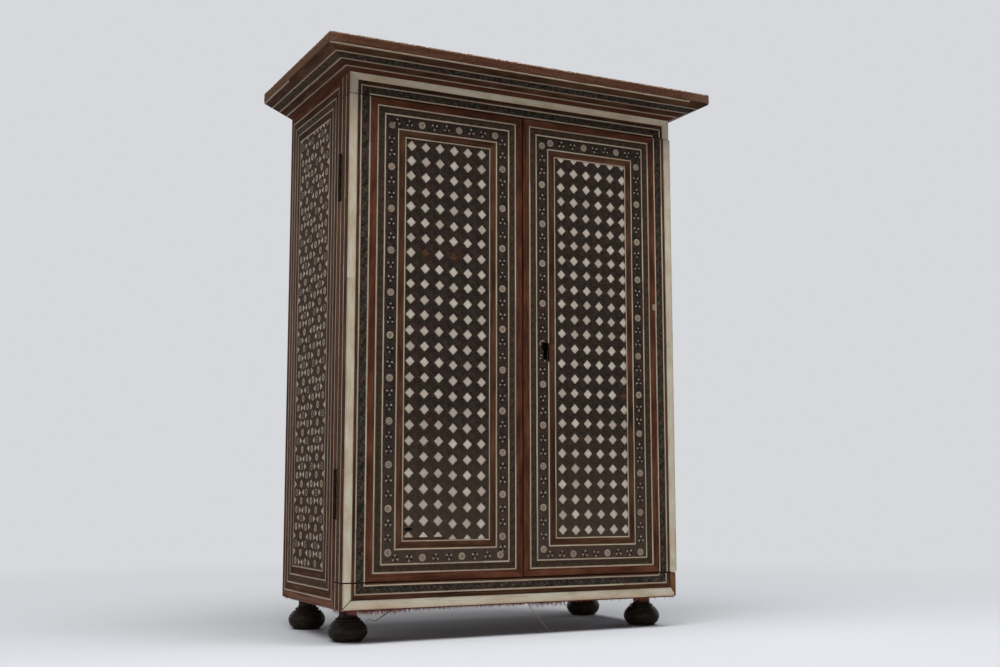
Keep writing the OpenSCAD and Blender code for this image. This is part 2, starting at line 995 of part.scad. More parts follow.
module right_door_field() {
    difference() {
        door_field(right_outer_x, right_meet_x, -1);
        keyhole();
    }
}

module right_door_edging() {
    door_edging(right_outer_x, -1);
}

// lock, let into the back of the right door at its meeting edge

// a round hole over a slot, from before the face through to the lock
module keyhole() {
    translate([key_mid_x, lock_front_y + lock_wall + cut, lock_z]) rotate([90, 0, 0])
        linear_extrude(door_t) {
            circle(key_r);
            translate([-key_slot_w / 2, -key_slot_l]) square([key_slot_w, key_slot_l]);
        }
}

module lock_box() {
    block(
        [right_meet_x, lock_front_y, lock_z - lock_below],
        [right_meet_x + lock_l, door_back_y, lock_z + lock_above]
    );
}

module selvedge() {
    block(
        [right_meet_x, lock_front_y, lock_z - lock_below - selvedge_ear],
        [right_meet_x + selvedge_t, door_back_y, lock_z + lock_above + selvedge_ear]
    );
}

module lock_recess() {
    block(
        [right_meet_x - cut, lock_front_y, lock_z - lock_below],
        [right_meet_x + lock_l, door_back_y + cut, lock_z + lock_above]
    );
    block(
        [right_meet_x - cut, lock_front_y, lock_z - lock_below - selvedge_ear],
        [right_meet_x + selvedge_t, door_back_y + cut, lock_z + lock_above + selvedge_ear]
    );
    for (z = selvedge_screws())
        edge_screw_place(right_meet_x, 1, z) screw_hole();
}

function selvedge_screws() = [
    lock_z - lock_below - selvedge_ear / 2,
    lock_z + lock_above + selvedge_ear / 2
];

// a screw driven into a meeting edge; dir is 1 towards +X
module edge_screw_place(x, dir, z) {
    translate([x, lock_bolt_y, z]) rotate([0, dir * 90, 0]) children();
}

module screw_hole() {
    translate([0, 0, -cut]) cylinder(r = screw_r + screw_clear, h = screw_head_t + screw_l + 2 * cut);
}

// room for a whole screw, its head flush with the plate
module screw_seat() {
    screw_hole();
    translate([0, 0, -cut]) cylinder(r = screw_head_r + screw_clear, h = screw_head_t + screw_clear + cut);
}

module bolt_bar(clear) {
    low_x = right_meet_x + bolt_back;
    low_z = lock_z + lock_bolt_z;
    block(
        [low_x, lock_bolt_y - lock_bolt_t / 2 - clear, low_z - clear],
        [low_x + lock_bolt_l, lock_bolt_y + lock_bolt_t / 2 + clear, low_z + lock_bolt_h + clear]
    );
}

module post(x, z) {
    translate([x, door_back_y - lock_wall + cut, z]) rotate([90, 0, 0])
        cylinder(r = post_r, h = lock_d - 2 * lock_wall + cut);
}

// the hollow of the lock case, open towards the door face
module lock_hollow(start_y) {
    block(
        [right_meet_x + selvedge_t, start_y, lock_z - lock_below + lock_wall],
        [
            right_meet_x + lock_l - lock_wall,
            door_back_y - lock_wall,
            lock_z + lock_above - lock_wall
        ]
    );
}

module lock_case() {
    color(old_brass) {
        difference() {
            union() {
                lock_box();
                selvedge();
            }
            lock_hollow(lock_front_y - cut);
            translate([-lock_travel, 0, 0]) bolt_bar(lock_clear);
            for (z = selvedge_screws()) edge_screw_place(right_meet_x, 1, z) screw_seat();
        }
        post(key_mid_x, lock_z);
        post(stud_x, lock_z + lock_bolt_z + lock_bolt_h / 2);
    }
}

module lock_cap() {
    color(old_brass) difference() {
        intersection() {
            lock_hollow(lock_front_y);
            block([right_meet_x, lock_front_y, base_z], [half_w, lock_front_y + lock_wall, top_z]);
        }
        keyhole();
    }
}

module lock_spring() {
    low_z = lock_z + lock_bolt_z + lock_bolt_h + lock_clear;
    start_x = right_meet_x + spring_start;
    end_x = right_meet_x + lock_l - lock_wall;
    color(iron) translate([0, lock_bolt_y + lock_bolt_t / 2, 0]) rotate([90, 0, 0])
        linear_extrude(lock_bolt_t) polygon([
            [start_x, low_z],
            [end_x, low_z + spring_rise],
            [end_x, low_z + spring_rise + spring_t],
            [start_x, low_z + spring_t]
        ]);
}

module lock_bolt() {
    slot_r = post_r + lock_clear;
    mid_z = lock_z + lock_bolt_z + lock_bolt_h / 2;
    talon_x = right_meet_x + bolt_back + lock_bolt_l - talon_w - talon_end;
    color(old_brass) difference() {
        bolt_bar(0);
        block(
            [stud_x - slot_r, lock_front_y, mid_z - slot_r],
            [stud_x + lock_travel + slot_r, door_back_y, mid_z + slot_r]
        );
        block(
            [talon_x, lock_front_y, lock_z],
            [talon_x + talon_w, door_back_y, lock_z + lock_bolt_z + talon_h / 2]
        );
    }
}

// strike plate and pocket in the left door

// the plate is twice as wide as the bolt and reaches an ear's length past it
module strike_area(clear) {
    block(
        [left_meet_x - strike_t, lock_bolt_y - lock_bolt_t - clear, lock_z + lock_bolt_z - selvedge_ear],
        [
            left_meet_x + (clear > 0 ? cut : 0),
            lock_bolt_y + lock_bolt_t + clear,
            lock_z + lock_bolt_z + lock_bolt_h + selvedge_ear
        ]
    );
}

module strike_pocket() {
    block(
        [
            left_meet_x - pocket_deep,
            lock_bolt_y - lock_bolt_t / 2 - 2 * lock_clear,
            lock_z + lock_bolt_z - 2 * lock_clear
        ],
        [
            left_meet_x + cut,
            lock_bolt_y + lock_bolt_t / 2 + 2 * lock_clear,
            lock_z + lock_bolt_z + lock_bolt_h + 2 * lock_clear
        ]
    );
}

function strike_screws() = [
    lock_z + lock_bolt_z - selvedge_ear / 2,
    lock_z + lock_bolt_z + lock_bolt_h + selvedge_ear / 2
];

module strike_cuts() {
    strike_area(cut);
    strike_pocket();
    for (z = strike_screws()) edge_screw_place(left_meet_x, -1, z) screw_hole();
}

module strike_plate() {
    color(old_brass) difference() {
        strike_area(0);
        strike_pocket();
        for (z = strike_screws()) edge_screw_place(left_meet_x, -1, z) screw_seat();
    }
}

module left_door_screws() {
    leaf_screws(left_pin_x, 1, -1);
    color(iron) {
        for (z = strike_screws()) edge_screw_place(left_meet_x, -1, z) screw();
        at_guides() guide_screws();
    }
}

module right_door_screws() {
    leaf_screws(right_pin_x, -1, -1);
    color(iron) for (z = selvedge_screws()) edge_screw_place(right_meet_x, 1, z) screw();
}

// shoot bolts on the back of the left door

// places the upper bolt as drawn and the lower one upside down
module at_guides() {
    translate([rod_x, door_back_y, upper_rod_top]) children();
    translate([rod_x, door_back_y, lower_rod_low]) mirror([0, 0, 1]) children();
}

module guide_screw_place(z) {
    screw_x = -guide_w / 2 + screw_head_r + guide_screw_edge;
    translate([screw_x, guide_plate_t, z]) rotate([90, 0, 0]) children();
}

module guide_screw_holes() {
    for (z = screw_z) guide_screw_place(z) screw_hole();
}

module guide_screws() {
    for (z = screw_z) guide_screw_place(z) screw();
}

module guide() {
    rod_offset = rod_y - door_back_y;
    difference() {
        union() {
            block([-guide_w / 2, 0, guide_low], [guide_w / 2, guide_plate_t, 0]);
            for (z = [-guide_l, guide_low])
                block(
                    [-rod_r - guide_wall, guide_plate_t - cut, z],
                    [rod_r + guide_wall, rod_offset + rod_r + guide_cap, z + guide_l]
                );
        }
        translate([0, rod_offset, guide_low - cut])
            cylinder(r = rod_r + rod_clear, h = guide_plate_l + 2 * cut);
        for (z = screw_z) guide_screw_place(z) screw_seat();
    }
}

module bolt_guides() {
    color(old_brass) at_guides() guide();
}

// a rod whose knob stands out at the lower end of its travel
module rod() {
    rod_offset = rod_y - door_back_y;
    knob_z = guide_low + guide_l + knob_r + knob_gap;
    translate([0, rod_offset, -rod_l]) cylinder(r = rod_r, h = rod_l);
    translate([0, rod_offset + knob_out, knob_z]) rotate([90, 0, 0]) cylinder(r = knob_r / 2, h = knob_out);
    translate([0, rod_offset + knob_out, knob_z]) sphere(knob_r);
}

module upper_bolt() {
    color(old_brass) translate([rod_x, door_back_y, upper_rod_top]) rod();
}

module lower_bolt() {
    color(old_brass) translate([rod_x, door_back_y, lower_rod_low]) mirror([0, 0, 1]) rod();
}

left_side_board();
right_side_board();
top_board();
bottom_board();
back_panel();
upper_shelf();
lower_shelf();
frieze_rail();
plinth_rail();
rail_edging();
rail_bands();
rail_stringing();
left_side_bands();
left_side_stringing();
left_side_field();
right_side_bands();
right_side_stringing();
right_side_field();
cornice_front();
cornice_left();
cornice_right();
cornice_back();
cornice_bands();
cornice_stringing();
top_panel();
front_left_foot();
front_right_foot();
back_left_foot();
back_right_foot();
base_baize();
left_upper_frame_leaf();
left_lower_frame_leaf();
right_upper_frame_leaf();
right_lower_frame_leaf();
hinge_pins();
frame_leaf_screws();
left_door_board();
left_door_bands();
left_door_stringing();
left_door_field();
left_door_edging();
left_upper_door_leaf();
left_lower_door_leaf();
left_door_screws();
strike_plate();
bolt_guides();
upper_bolt();
lower_bolt();
right_door_board();
right_door_bands();
right_door_stringing();
right_door_field();
right_door_edging();
right_upper_door_leaf();
right_lower_door_leaf();
right_door_screws();
lock_case();
lock_cap();
lock_spring();
lock_bolt();
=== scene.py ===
import math
import random

import bmesh
import bpy
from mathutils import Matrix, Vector, noise


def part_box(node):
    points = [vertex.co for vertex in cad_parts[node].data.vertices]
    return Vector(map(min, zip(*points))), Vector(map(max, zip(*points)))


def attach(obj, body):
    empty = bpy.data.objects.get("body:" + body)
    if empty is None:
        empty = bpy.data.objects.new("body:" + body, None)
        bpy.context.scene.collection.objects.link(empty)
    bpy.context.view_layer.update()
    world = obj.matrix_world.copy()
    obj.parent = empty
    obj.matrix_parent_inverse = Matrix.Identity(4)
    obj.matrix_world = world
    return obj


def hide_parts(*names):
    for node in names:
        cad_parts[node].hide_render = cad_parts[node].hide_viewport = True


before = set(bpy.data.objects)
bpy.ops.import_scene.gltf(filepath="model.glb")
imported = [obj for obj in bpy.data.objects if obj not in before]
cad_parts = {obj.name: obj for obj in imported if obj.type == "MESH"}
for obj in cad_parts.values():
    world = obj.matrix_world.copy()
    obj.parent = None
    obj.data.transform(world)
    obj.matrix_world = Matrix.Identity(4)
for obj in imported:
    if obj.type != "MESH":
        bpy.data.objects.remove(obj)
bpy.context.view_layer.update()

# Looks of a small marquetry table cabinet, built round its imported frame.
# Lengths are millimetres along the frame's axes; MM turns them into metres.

MM = 0.001
rng = random.Random(11)


def jitter(amount):
    return rng.uniform(-amount, amount)


# Sizes read from the frame

def low(node):
    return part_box(node)[0] / MM


def high(node):
    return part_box(node)[1] / MM


half_w = high("frieze_rail").x
front_y = low("rail_edging").y
base_z = low("plinth_rail").z
frieze_low = low("frieze_rail").z
top_z = high("frieze_rail").z
door_high = high("left_door_board").z
door_back = high("left_door_board").y
side_front = low("left_side_bands").y
side_back = high("left_side_bands").y
left_outer = low("left_door_board").x
left_meet = high("left_door_board").x
right_outer = high("right_door_board").x
right_meet = low("right_door_board").x
cornice_reach = high("cornice_front").x
cornice_top = high("cornice_front").z
# the dark joint under the doors, a little wider in the inlay than in the boards
plinth_top = high("plinth_rail").z - 0.2
door_low = low("left_door_board").z + 0.25
# the strips keep this far from the hinges
hinge_gap = 0.3
hinge_spans = [
    (low(f"left_{level}_frame_leaf").z - hinge_gap, high(f"left_{level}_frame_leaf").z + hinge_gap)
    for level in ("lower", "upper")
]
knuckle_front = low("left_upper_frame_leaf").y - hinge_gap
knuckle_back = door_back + side_front - knuckle_front

# Widths of the inlaid strips, as distances from the edge of each face
line_w = 1.0
half_line = line_w / 2
edging_w = 6.0
door_insets = [edging_w, 8.5, 14.9]
panel_start = 15.4
panel_marks = [5.5, 10.9, 20.6, 26.0]
plinth_marks = [6.0, 9.8, 15.4]
frieze_marks = [5.0, 8.3, 13.9]
side_marks = [0.0, 5.4, 11.3, 17.2, 23.1]
edge_marks = [0.3, 6.7, 14.2, door_back - front_y]
slope_marks = [5.2, 11.3, 17.5, 24.12]

# Relief of the inlay over the ground, too small to see but enough to catch the light
line_proud = 0.05
motif_proud = 0.04
edge_proud = 0.06
inlay_deep = 1.1
# settings of an Inlay: how deep it goes, how proud it stands and its bevel
edging_cut = (0.9, line_proud, 0.12)
line_cut = (0.9, line_proud)
motif_cut = (0.5, motif_proud, 0.04)
side_cut = (0.95,)
slope_cut = (0.85,)
# stands for a side without end
endless = 1e6
# smaller pieces are left out
smallest_area = 0.03
# the gap between two lengths of a line
line_joint = 0.08


# Flat faces that carry inlay

class Plane:
    """A flat face: a point on it, two directions along it and the one out of it."""

    def __init__(self, origin, across, up, out):
        self.origin, self.across, self.up, self.out = map(Vector, (origin, across, up, out))
        self.turned = self.across.cross(self.up).dot(self.out) < 0

    def point(self, u, v, depth=0.0):
        return (self.origin + u * self.across + v * self.up + depth * self.out) * MM


FRONT = Plane((0, front_y, 0), (1, 0, 0), (0, 0, 1), (0, -1, 0))
LEFT_SIDE = Plane((-half_w, 0, 0), (0, 1, 0), (0, 0, 1), (-1, 0, 0))
RIGHT_SIDE = Plane((half_w, 0, 0), (0, 1, 0), (0, 0, 1), (1, 0, 0))
RIGHT_DOOR_EDGE = Plane((right_outer, 0, 0), (0, 1, 0), (0, 0, 1), (1, 0, 0))

cornice_out = cornice_reach - half_w
slope_h = 10.0
slope_len = math.hypot(cornice_out, slope_h)
slope_out = cornice_out / slope_len
slope_up = slope_h / slope_len
SLOPES = {
    "front": Plane((0, front_y, top_z), (1, 0, 0), (0, -slope_out, slope_up), (0, -slope_up, -slope_out)),
    "left": Plane((-half_w, 0, top_z), (0, 1, 0), (-slope_out, 0, slope_up), (-slope_up, 0, -slope_out)),
    "right": Plane((half_w, 0, top_z), (0, 1, 0), (slope_out, 0, slope_up), (slope_up, 0, -slope_out)),
}


# Outlines

def area(outline):
    return 0.5 * sum(a[0] * b[1] - b[0] * a[1] for a, b in zip(outline, outline[1:] + outline[:1]))


def extent(outline):
    """The box (u0, v0, u1, v1) round an outline."""
    us, vs = zip(*outline)
    return min(us), min(vs), max(us), max(vs)


def inset(outline, distance):
    """An outline that runs anticlockwise, moved inwards."""
    moved = []
    for i, here in enumerate(outline):
        before = (here - outline[i - 1]).normalized()
        after = (outline[(i + 1) % len(outline)] - here).normalized()
        side_a = Vector((-before.y, before.x))
        side_b = Vector((-after.y, after.x))
        moved.append(here + distance * (side_a + side_b) / max(0.4, 1 + side_a.dot(side_b)))
    return moved


def clip(outline, box):
    """What of a convex outline lies inside the box (u0, v0, u1, v1)."""
    outline = [Vector(p) for p in outline]
    for axis in (0, 1):
        for sign, limit in ((1, box[axis]), (-1, box[axis + 2])):
            kept = []
            for i, here in enumerate(outline):
                before = outline[i - 1]
                inside = sign * (here[axis] - limit) >= 0
                was_inside = sign * (before[axis] - limit) >= 0
                if inside != was_inside:
                    kept.append(before.lerp(here, (limit - before[axis]) / (here[axis] - before[axis])))
                if inside:
                    kept.append(here)
            outline = kept
    return outline


def rectangle(u0, v0, u1, v1):
    return [(u0, v0), (u1, v0), (u1, v1), (u0, v1)]


def arc(u, v, radius, turns):
    return [(u + radius * math.cos(turn), v + radius * math.sin(turn)) for turn in turns]


def disc(u, v, radius, sides):
    return arc(u, v, radius, [math.tau * i / sides for i in range(sides)])


def shrunk(box, *by):
    """A box made smaller by one inset, or by its own on the left, bottom, right and top."""
    a, b, c, d = by * 4 if len(by) == 1 else by
    return (box[0] + a, box[1] + b, box[2] - c, box[3] - d)


def ring_sides(outer, inner):
    """The four mitred sides between two boxes, each with its long direction."""
    (a, b, c, d), (e, f, g, h) = outer, inner
    return [
        ([(a, b), (c, b), (g, f), (e, f)], (1, 0)),
        ([(e, h), (g, h), (c, d), (a, d)], (1, 0)),
        ([(a, b), (e, f), (e, h), (a, d)], (0, 1)),
        ([(g, f), (c, b), (c, d), (g, h)], (0, 1)),
    ]


# Pieces

def new_piece(name, points, faces, material, body, slot, *nodes):
    """A mesh of its own that rides on a body and stands for the nodes."""
    mesh = bpy.data.meshes.new(name)
    mesh.from_pydata(points, [], faces)
    mesh.materials.append(material)
    piece = bpy.data.objects.new(name, mesh)
    bpy.context.scene.collection.objects.link(piece)
    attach(piece, body)
    if nodes:
        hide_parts(*nodes)
    return piece


def keep_marks(piece, grain, edge):
    """Gives each point what the materials read: see Inlay."""
    for key, values in (("grain", grain), ("edge", edge)):
        layer = piece.data.attributes.new(key, "FLOAT_VECTOR", "POINT")
        layer.data.foreach_set("vector", values)


class Inlay:
    """Many flat closed pieces of one material, set into one or more planes, as one mesh.

    Each point keeps grain (millimetres along, millimetres across, seed) and
    edge (how far it is from the middle in two directions, and the tone of its piece)."""

    def __init__(self, deep=inlay_deep, proud=0.0, bevel=0.05):
        self.deep, self.proud, self.bevel = deep, proud, bevel
        self.points, self.faces, self.grain, self.edge = [], [], [], []

    def add(self, plane, outline, along=(1, 0), size=None, tone=None, proud=None, deep=None, bevel=None):
        """One piece. size is half its length and width; without it edge runs across a long strip."""
        outline = [Vector(p) for p in outline]
        if len(outline) < 3 or abs(area(outline)) < smallest_area:
            return
        if area(outline) < 0:
            outline.reverse()
        proud = self.proud if proud is None else proud
        deep = self.deep if deep is None else deep
        bevel = self.bevel if bevel is None else bevel
        tone = rng.random() if tone is None else tone
        seed = rng.uniform(0, 90)
        u0, v0, u1, v1 = extent(outline)
        middle = ((u0 + u1) / 2, (v0 + v1) / 2)
        if size is None:
            size = (endless, (v1 - v0) / 2) if along == (1, 0) else ((u1 - u0) / 2, endless)
        top = inset(outline, bevel) if bevel else outline
        if plane.turned:
            outline = outline[::-1]
            top = top[::-1]
        layers = [(outline, -deep), (outline, proud - bevel), (top, proud)]
        if not bevel:
            layers = layers[::2]
        first = len(self.points)
        count = len(outline)
        for flat, depth in layers:
            for u, v in flat:
                self.points.append(plane.point(u, v, depth))
                self.grain += [u, v, seed] if along == (1, 0) else [v, u, seed]
                self.edge += [(u - middle[0]) / size[0], (v - middle[1]) / size[1], tone]
        for layer in range(len(layers) - 1):
            start = first + layer * count
            for i in range(count):
                j = (i + 1) % count
                self.faces.append((start + i, start + j, start + count + j, start + count + i))
        last = len(self.points)
        self.faces.append(tuple(range(last - count, last)))
        self.faces.append(tuple(reversed(range(first, first + count))))


class Face:
    """The inlays of one part of the cabinet, each an attribute of its own.

    A row gives attribute, settings of the Inlay, name, material, slot and the nodes it stands for."""

    def __init__(self, prefix, body, rows):
        self.prefix, self.body, self.rows = prefix, body, rows
        for attribute, settings, *_ in rows:
            setattr(self, attribute, Inlay(*settings))

    def build(self):
        for attribute, _, name, material, slot, *nodes in self.rows:
            inlay = getattr(self, attribute)
            nodes = [f"{self.prefix}_{node}" for node in nodes]
            named = f"{self.prefix}_{name}"
            piece = new_piece(named, inlay.points, inlay.faces, material, self.body, slot, *nodes)
            keep_marks(piece, inlay.grain, inlay.edge)


def stringing(inlay, plane, start, end, width=line_w, every=55, wobble=0.10, proud=None, box=None):
    """A straight line of short lengths butted end to end, each a little out of true, inside the box."""
    upright = start[0] == end[0]
    here, last = (start[1], end[1]) if upright else (start[0], end[0])
    middle = start[0] if upright else start[1]
    while here < last - 0.2:
        length = every * rng.uniform(0.5, 1.4)
        stop = last if last - here - length < 0.3 * every else here + length
        shift = jitter(0.06)
        wide = width * rng.uniform(0.86, 1.1)
        steps = max(1, round((stop - here) / 7))
        key = rng.uniform(0, 100)
        sides = ([], [])
        for i in range(steps + 1):
            run = here + line_joint / 2 + (stop - here - line_joint) * i / steps
            drift = shift + wobble * noise.noise((run / 23, middle / 9, key))
            thick = wide * (1 + 0.16 * noise.noise((run / 11, key, middle)))
            for side, sign in zip(sides, (-1, 1)):
                across = middle + drift + sign * thick / 2
                side.append((across, run) if upright else (run, across))
        outline = sides[0] + sides[1][::-1]
        if box:
            outline = clip(outline, box)
        inlay.add(plane, outline, (0, 1) if upright else (1, 0), proud=proud)
        here = stop


def line_ring(inlay, plane, box, left=True, **options):
    """Stringing round a box, the level lines run through and the upright ones butt against them."""
    u0, v0, u1, v1 = box
    for v in (v0, v1):
        stringing(inlay, plane, (u0 - half_line, v), (u1 + half_line, v), **options)
    for u in (u0, u1) if left else (u1,):
        stringing(inlay, plane, (u, v0 + half_line), (u, v1 - half_line), **options)


def between_hinges(z0, z1):
    """The lengths of an upright strip, each with whether it passes a hinge."""
    levels = [z0, *hinge_spans[0], *hinge_spans[1], z1]
    return [(start, end, i % 2 == 1) for i, (start, end) in enumerate(zip(levels, levels[1:]))]


# Materials

def rgb(red, green, blue):
    """A colour given in the usual 0 to 255 steps."""
    def straight(value):
        value /= 255
        return value / 12.92 if value <= 0.04045 else ((value + 0.055) / 1.055) ** 2.4
    return (straight(red), straight(green), straight(blue), 1.0)


def tones(*colours):
    return [rgb(*colour) for colour in colours]


class Graph:
    """Short calls for the usual nodes of a tree."""

    def __init__(self, tree):
        self.tree = tree

    def feed(self, socket, value):
        if isinstance(value, bpy.types.NodeSocket):
            self.tree.links.new(value, socket)
        else:
            socket.default_value = value

    def node(self, kind, inputs, out=0, **settings):
        node = self.tree.nodes.new("ShaderNode" + kind)
        for key, value in settings.items():
            setattr(node, key, value)
        for key, value in inputs.items():
            self.feed(node.inputs[key], value)
        return node.outputs[out]

    def place(self):
        """Position in the piece, in millimetres."""
        return self.scaled(self.node("TexCoord", {}, 3), (1 / MM,) * 3)

    def split(self, vector):
        node = self.tree.nodes.new("ShaderNodeSeparateXYZ")
        self.feed(node.inputs[0], vector)
        return node.outputs

    def join(self, x, y, z):
        return self.node("CombineXYZ", {0: x, 1: y, 2: z})

    def scaled(self, vector, factors):
        return self.node("VectorMath", {0: vector, 1: factors}, operation="MULTIPLY")

    def math(self, operation, a, b=0.0, c=0.0):
        return self.node("Math", {0: a, 1: b, 2: c}, operation=operation)

    def times(self, a, b):
        return self.math("MULTIPLY", a, b)

    def sum(self, a, factor, b):
        """a times a factor, plus b."""
        return self.math("MULTIPLY_ADD", a, factor, b)

    def swing(self, value, by, amount):
        """A value moved up and down by another that runs from 0 to 1."""
        return self.sum(self.math("SUBTRACT", by, 0.5), amount, value)

    def noise(self, vector, scale=1.0, detail=2.0, rough=0.5):
        inputs = {"Vector": vector, "Scale": scale, "Detail": detail, "Roughness": rough}
        return self.node("TexNoise", inputs)

    def streaks(self, vector, factors, detail, rough, scale=1.0):
        """Noise drawn out by its own factor in each direction."""
        return self.noise(self.scaled(vector, factors), scale, detail, rough)

    def span(self, value, start, end, to_start=0.0, to_end=1.0):
        return self.node("MapRange", {0: value, 1: start, 2: end, 3: to_start, 4: to_end})

    def mix(self, factor, a, b, blend="MIX"):
        return self.node("Mix", {0: factor, 6: a, 7: b}, 2, data_type="RGBA", blend_type=blend)

    def glaze(self, colour, mask, strength, over):
        """A second colour over the first, as strong as mask times strength."""
        return self.mix(self.times(mask, strength), colour, over)

    def shaded(self, colour, shade):
        return self.mix(1.0, colour, self.join(shade, shade, shade), "MULTIPLY")

    def ramp(self, value, places, colours, stepped=False):
        node = self.tree.nodes.new("ShaderNodeValToRGB")
        self.feed(node.inputs[0], value)
        band = node.color_ramp
        band.interpolation = "CONSTANT" if stepped else "LINEAR"
        while len(band.elements) < len(places):
            band.elements.new(0.5)
        for element, position, colour in zip(band.elements, places, colours):
            element.position = position
            element.color = colour
        return node.outputs[0]


class Finish(Graph):
    """The nodes of one material."""

    def __init__(self, name, rough=0.4, specular=0.004, metal=0.0, sheen=0.0):
        self.material = bpy.data.materials.new(name)
        self.material.use_nodes = True
        super().__init__(self.material.node_tree)
        self.shader = self.tree.nodes["Principled BSDF"]
        self.set("Roughness", rough)
        self.set("Specular IOR Level", specular)
        self.set("Metallic", metal)
        self.set("Sheen Weight", sheen)

    def set(self, name, value):
        self.feed(self.shader.inputs[name], value)

    def attribute(self, name):
        return self.node("Attribute", {}, 1, attribute_name=name)

    def grain(self, direction=None):
        """Along, across and seed: the inlay's own, or for a solid board its place with direction along."""
        if direction is None:
            return self.attribute("grain")
        x, y, z = self.split(self.place())
        order = {"x": (x, y, z), "z": (z, x, y)}[direction]
        return self.join(*order)

    def dirt(self, start):
        """From 0 in the middle of an inlaid piece to 1 at its edge."""
        u, v, _ = self.split(self.attribute("edge"))
        far = self.math("ADD", self.math("ABSOLUTE", u), self.math("ABSOLUTE", v))
        return self.span(far, start, 1.02)

    def tone(self):
        return self.split(self.attribute("edge"))[2]

    def done(self, colour, rough, relief, height, strength):
        """The material, with its relief in millimetres."""
        self.set("Base Color", colour)
        if rough is not None:
            self.set("Roughness", rough)
        inputs = {"Height": relief, "Distance": height * MM, "Strength": strength}
        self.set("Normal", self.node("Bump", inputs))
        return self.material


def wood(name, colours, rough, direction=None, fine=1.0, wear=0.0, paler_low_down=False, hole=None):
    """Straight-grained wood: broad streaks, fine fibres and short dark pores."""
    g = Finish(name)
    grain = g.grain(direction)
    # a board has longer streaks than a short piece of inlay
    reach = 0.25 if direction else 1.0
    streak = g.streaks(grain, (0.02 * reach, 0.55 * fine, 0.55), 4, 0.62)
    fibre = g.streaks(grain, (0.10 * reach, 3.2 * fine, 3.2), 3, 0.6)
    mottle = g.streaks(grain, (0.045 * reach, 0.12, 0.2), 3, 0.55)
    value = g.sum(streak, 0.55, g.times(fibre, 0.45))
    value = g.swing(value, mottle, 0.7 * math.sqrt(reach))
    if direction:
        _, across, deep = g.split(grain)
        warp = g.streaks(grain, (0.005, 0.018, 0.018), 2, 0.5)
        rings = g.math("FRACT", g.sum(warp, 6.0, g.sum(across, 0.11, g.times(deep, 0.09))))
        value = g.swing(value, rings, 0.11)
    else:
        value = g.swing(value, g.tone(), 0.16)
    colour = g.ramp(value, (0.28, 0.5, 0.74), colours)
    pore = g.span(g.streaks(grain, (0.42, 7.5 * fine, 7.5), 1, 0.5), 0.60, 0.72)
    colour = g.glaze(colour, pore, 0.55, colours[0])
    if wear:
        rub = g.span(g.streaks(grain, (0.06, 0.5, 0.5), 5, 0.7), 0.55, 0.78)
        colour = g.glaze(colour, rub, wear, g.mix(0.5, colours[2], rgb(150, 112, 84)))
    if paler_low_down:
        # paler in streaks towards the bottom
        low_down = g.span(g.split(g.place())[2], 36, 26, 0, 0.9)
        colour = g.glaze(colour, low_down, g.span(streak, 0.34, 0.62), rgb(114, 84, 70))
    if not direction:
        colour = g.glaze(colour, g.dirt(0.8), 0.5, rgb(20, 14, 11))
    if hole:
        # its wall is painted near black round the keyhole
        x, _, z = g.split(g.place())
        middle = (hole[0], 0.0, hole[1])
        far = g.node("VectorMath", {0: g.join(x, 0.0, z), 1: middle}, 1, operation="DISTANCE")
        colour = g.mix(g.span(far, 7.0, 9.0, 0.9, 0.0), colour, rgb(12, 10, 8))
    relief = g.math("SUBTRACT", fibre, g.times(pore, 0.8))
    return g.done(colour, g.span(fibre, 0.3, 0.7, rough - 0.07, rough + 0.1), relief, 0.05, 0.7)


def bone(name, pale, warm, dirty=0.5):
    """Old bone: cream with fine brown hairlines, cloudy grey-green and pink patches, grime at its edges."""
    g = Finish(name, specular=0.05)
    grain = g.grain()
    cloud = g.streaks(grain, (0.035, 0.12, 0.9), 3, 0.6)
    green = g.streaks(grain, (0.06, 0.10, 1.7), 4, 0.65)
    streak = g.streaks(grain, (0.05, 1.6, 1.0), 4, 0.65)
    hair = g.streaks(grain, (0.30, 6.5, 2.0), 2, 0.5)
    colour = g.mix(g.span(cloud, 0.36, 0.66), pale, warm)
    colour = g.glaze(colour, g.span(green, 0.50, 0.68), 0.55, rgb(146, 142, 112))
    colour = g.glaze(colour, g.span(streak, 0.50, 0.78), 0.55, rgb(128, 104, 80))
    colour = g.glaze(colour, g.span(hair, 0.62, 0.76), 0.55, rgb(84, 62, 46))
    shade = g.span(g.tone(), 0, 1, 0.80, 1.10)
    colour = g.mix(1.0, colour, g.join(shade, shade, g.sum(shade, 0.85, 0.14)), "MULTIPLY")
    lower_edge = g.span(g.split(g.attribute("edge"))[1], -0.1, -1.0)
    colour = g.glaze(colour, lower_edge, 0.45, rgb(178, 144, 110))
    grime = g.times(g.dirt(0.62), g.span(cloud, 0.3, 0.6, 0.45, 1.0))
    colour = g.glaze(colour, grime, dirty, rgb(70, 52, 40))
    return g.done(colour, g.span(streak, 0.3, 0.75, 0.29, 0.50), g.sum(hair, 0.6, streak), 0.05, 0.6)


def diamond_bone(name, *shades):
    """Small pieces of bone: flat cream, each its own shade from pinkish to greenish grey."""
    g = Finish(name, specular=0.04)
    cloud = g.streaks(g.grain(), (0.25, 0.25, 1.3), 3, 0.6)
    hair = g.streaks(g.grain(), (0.5, 5.0, 2.0), 3, 0.6)
    colour = g.ramp(g.tone(), (0.0, 0.3, 0.7, 1.0), tones(*shades))
    colour = g.glaze(colour, g.span(cloud, 0.45, 0.75), 0.5, rgb(140, 126, 104))
    colour = g.glaze(colour, g.span(hair, 0.58, 0.74), 0.35, rgb(104, 84, 66))
    colour = g.glaze(colour, g.dirt(0.74), 0.55, rgb(78, 62, 50))
    return g.done(colour, g.span(cloud, 0.3, 0.7, 0.28, 0.45), g.math("ADD", cloud, hair), 0.04, 0.5)


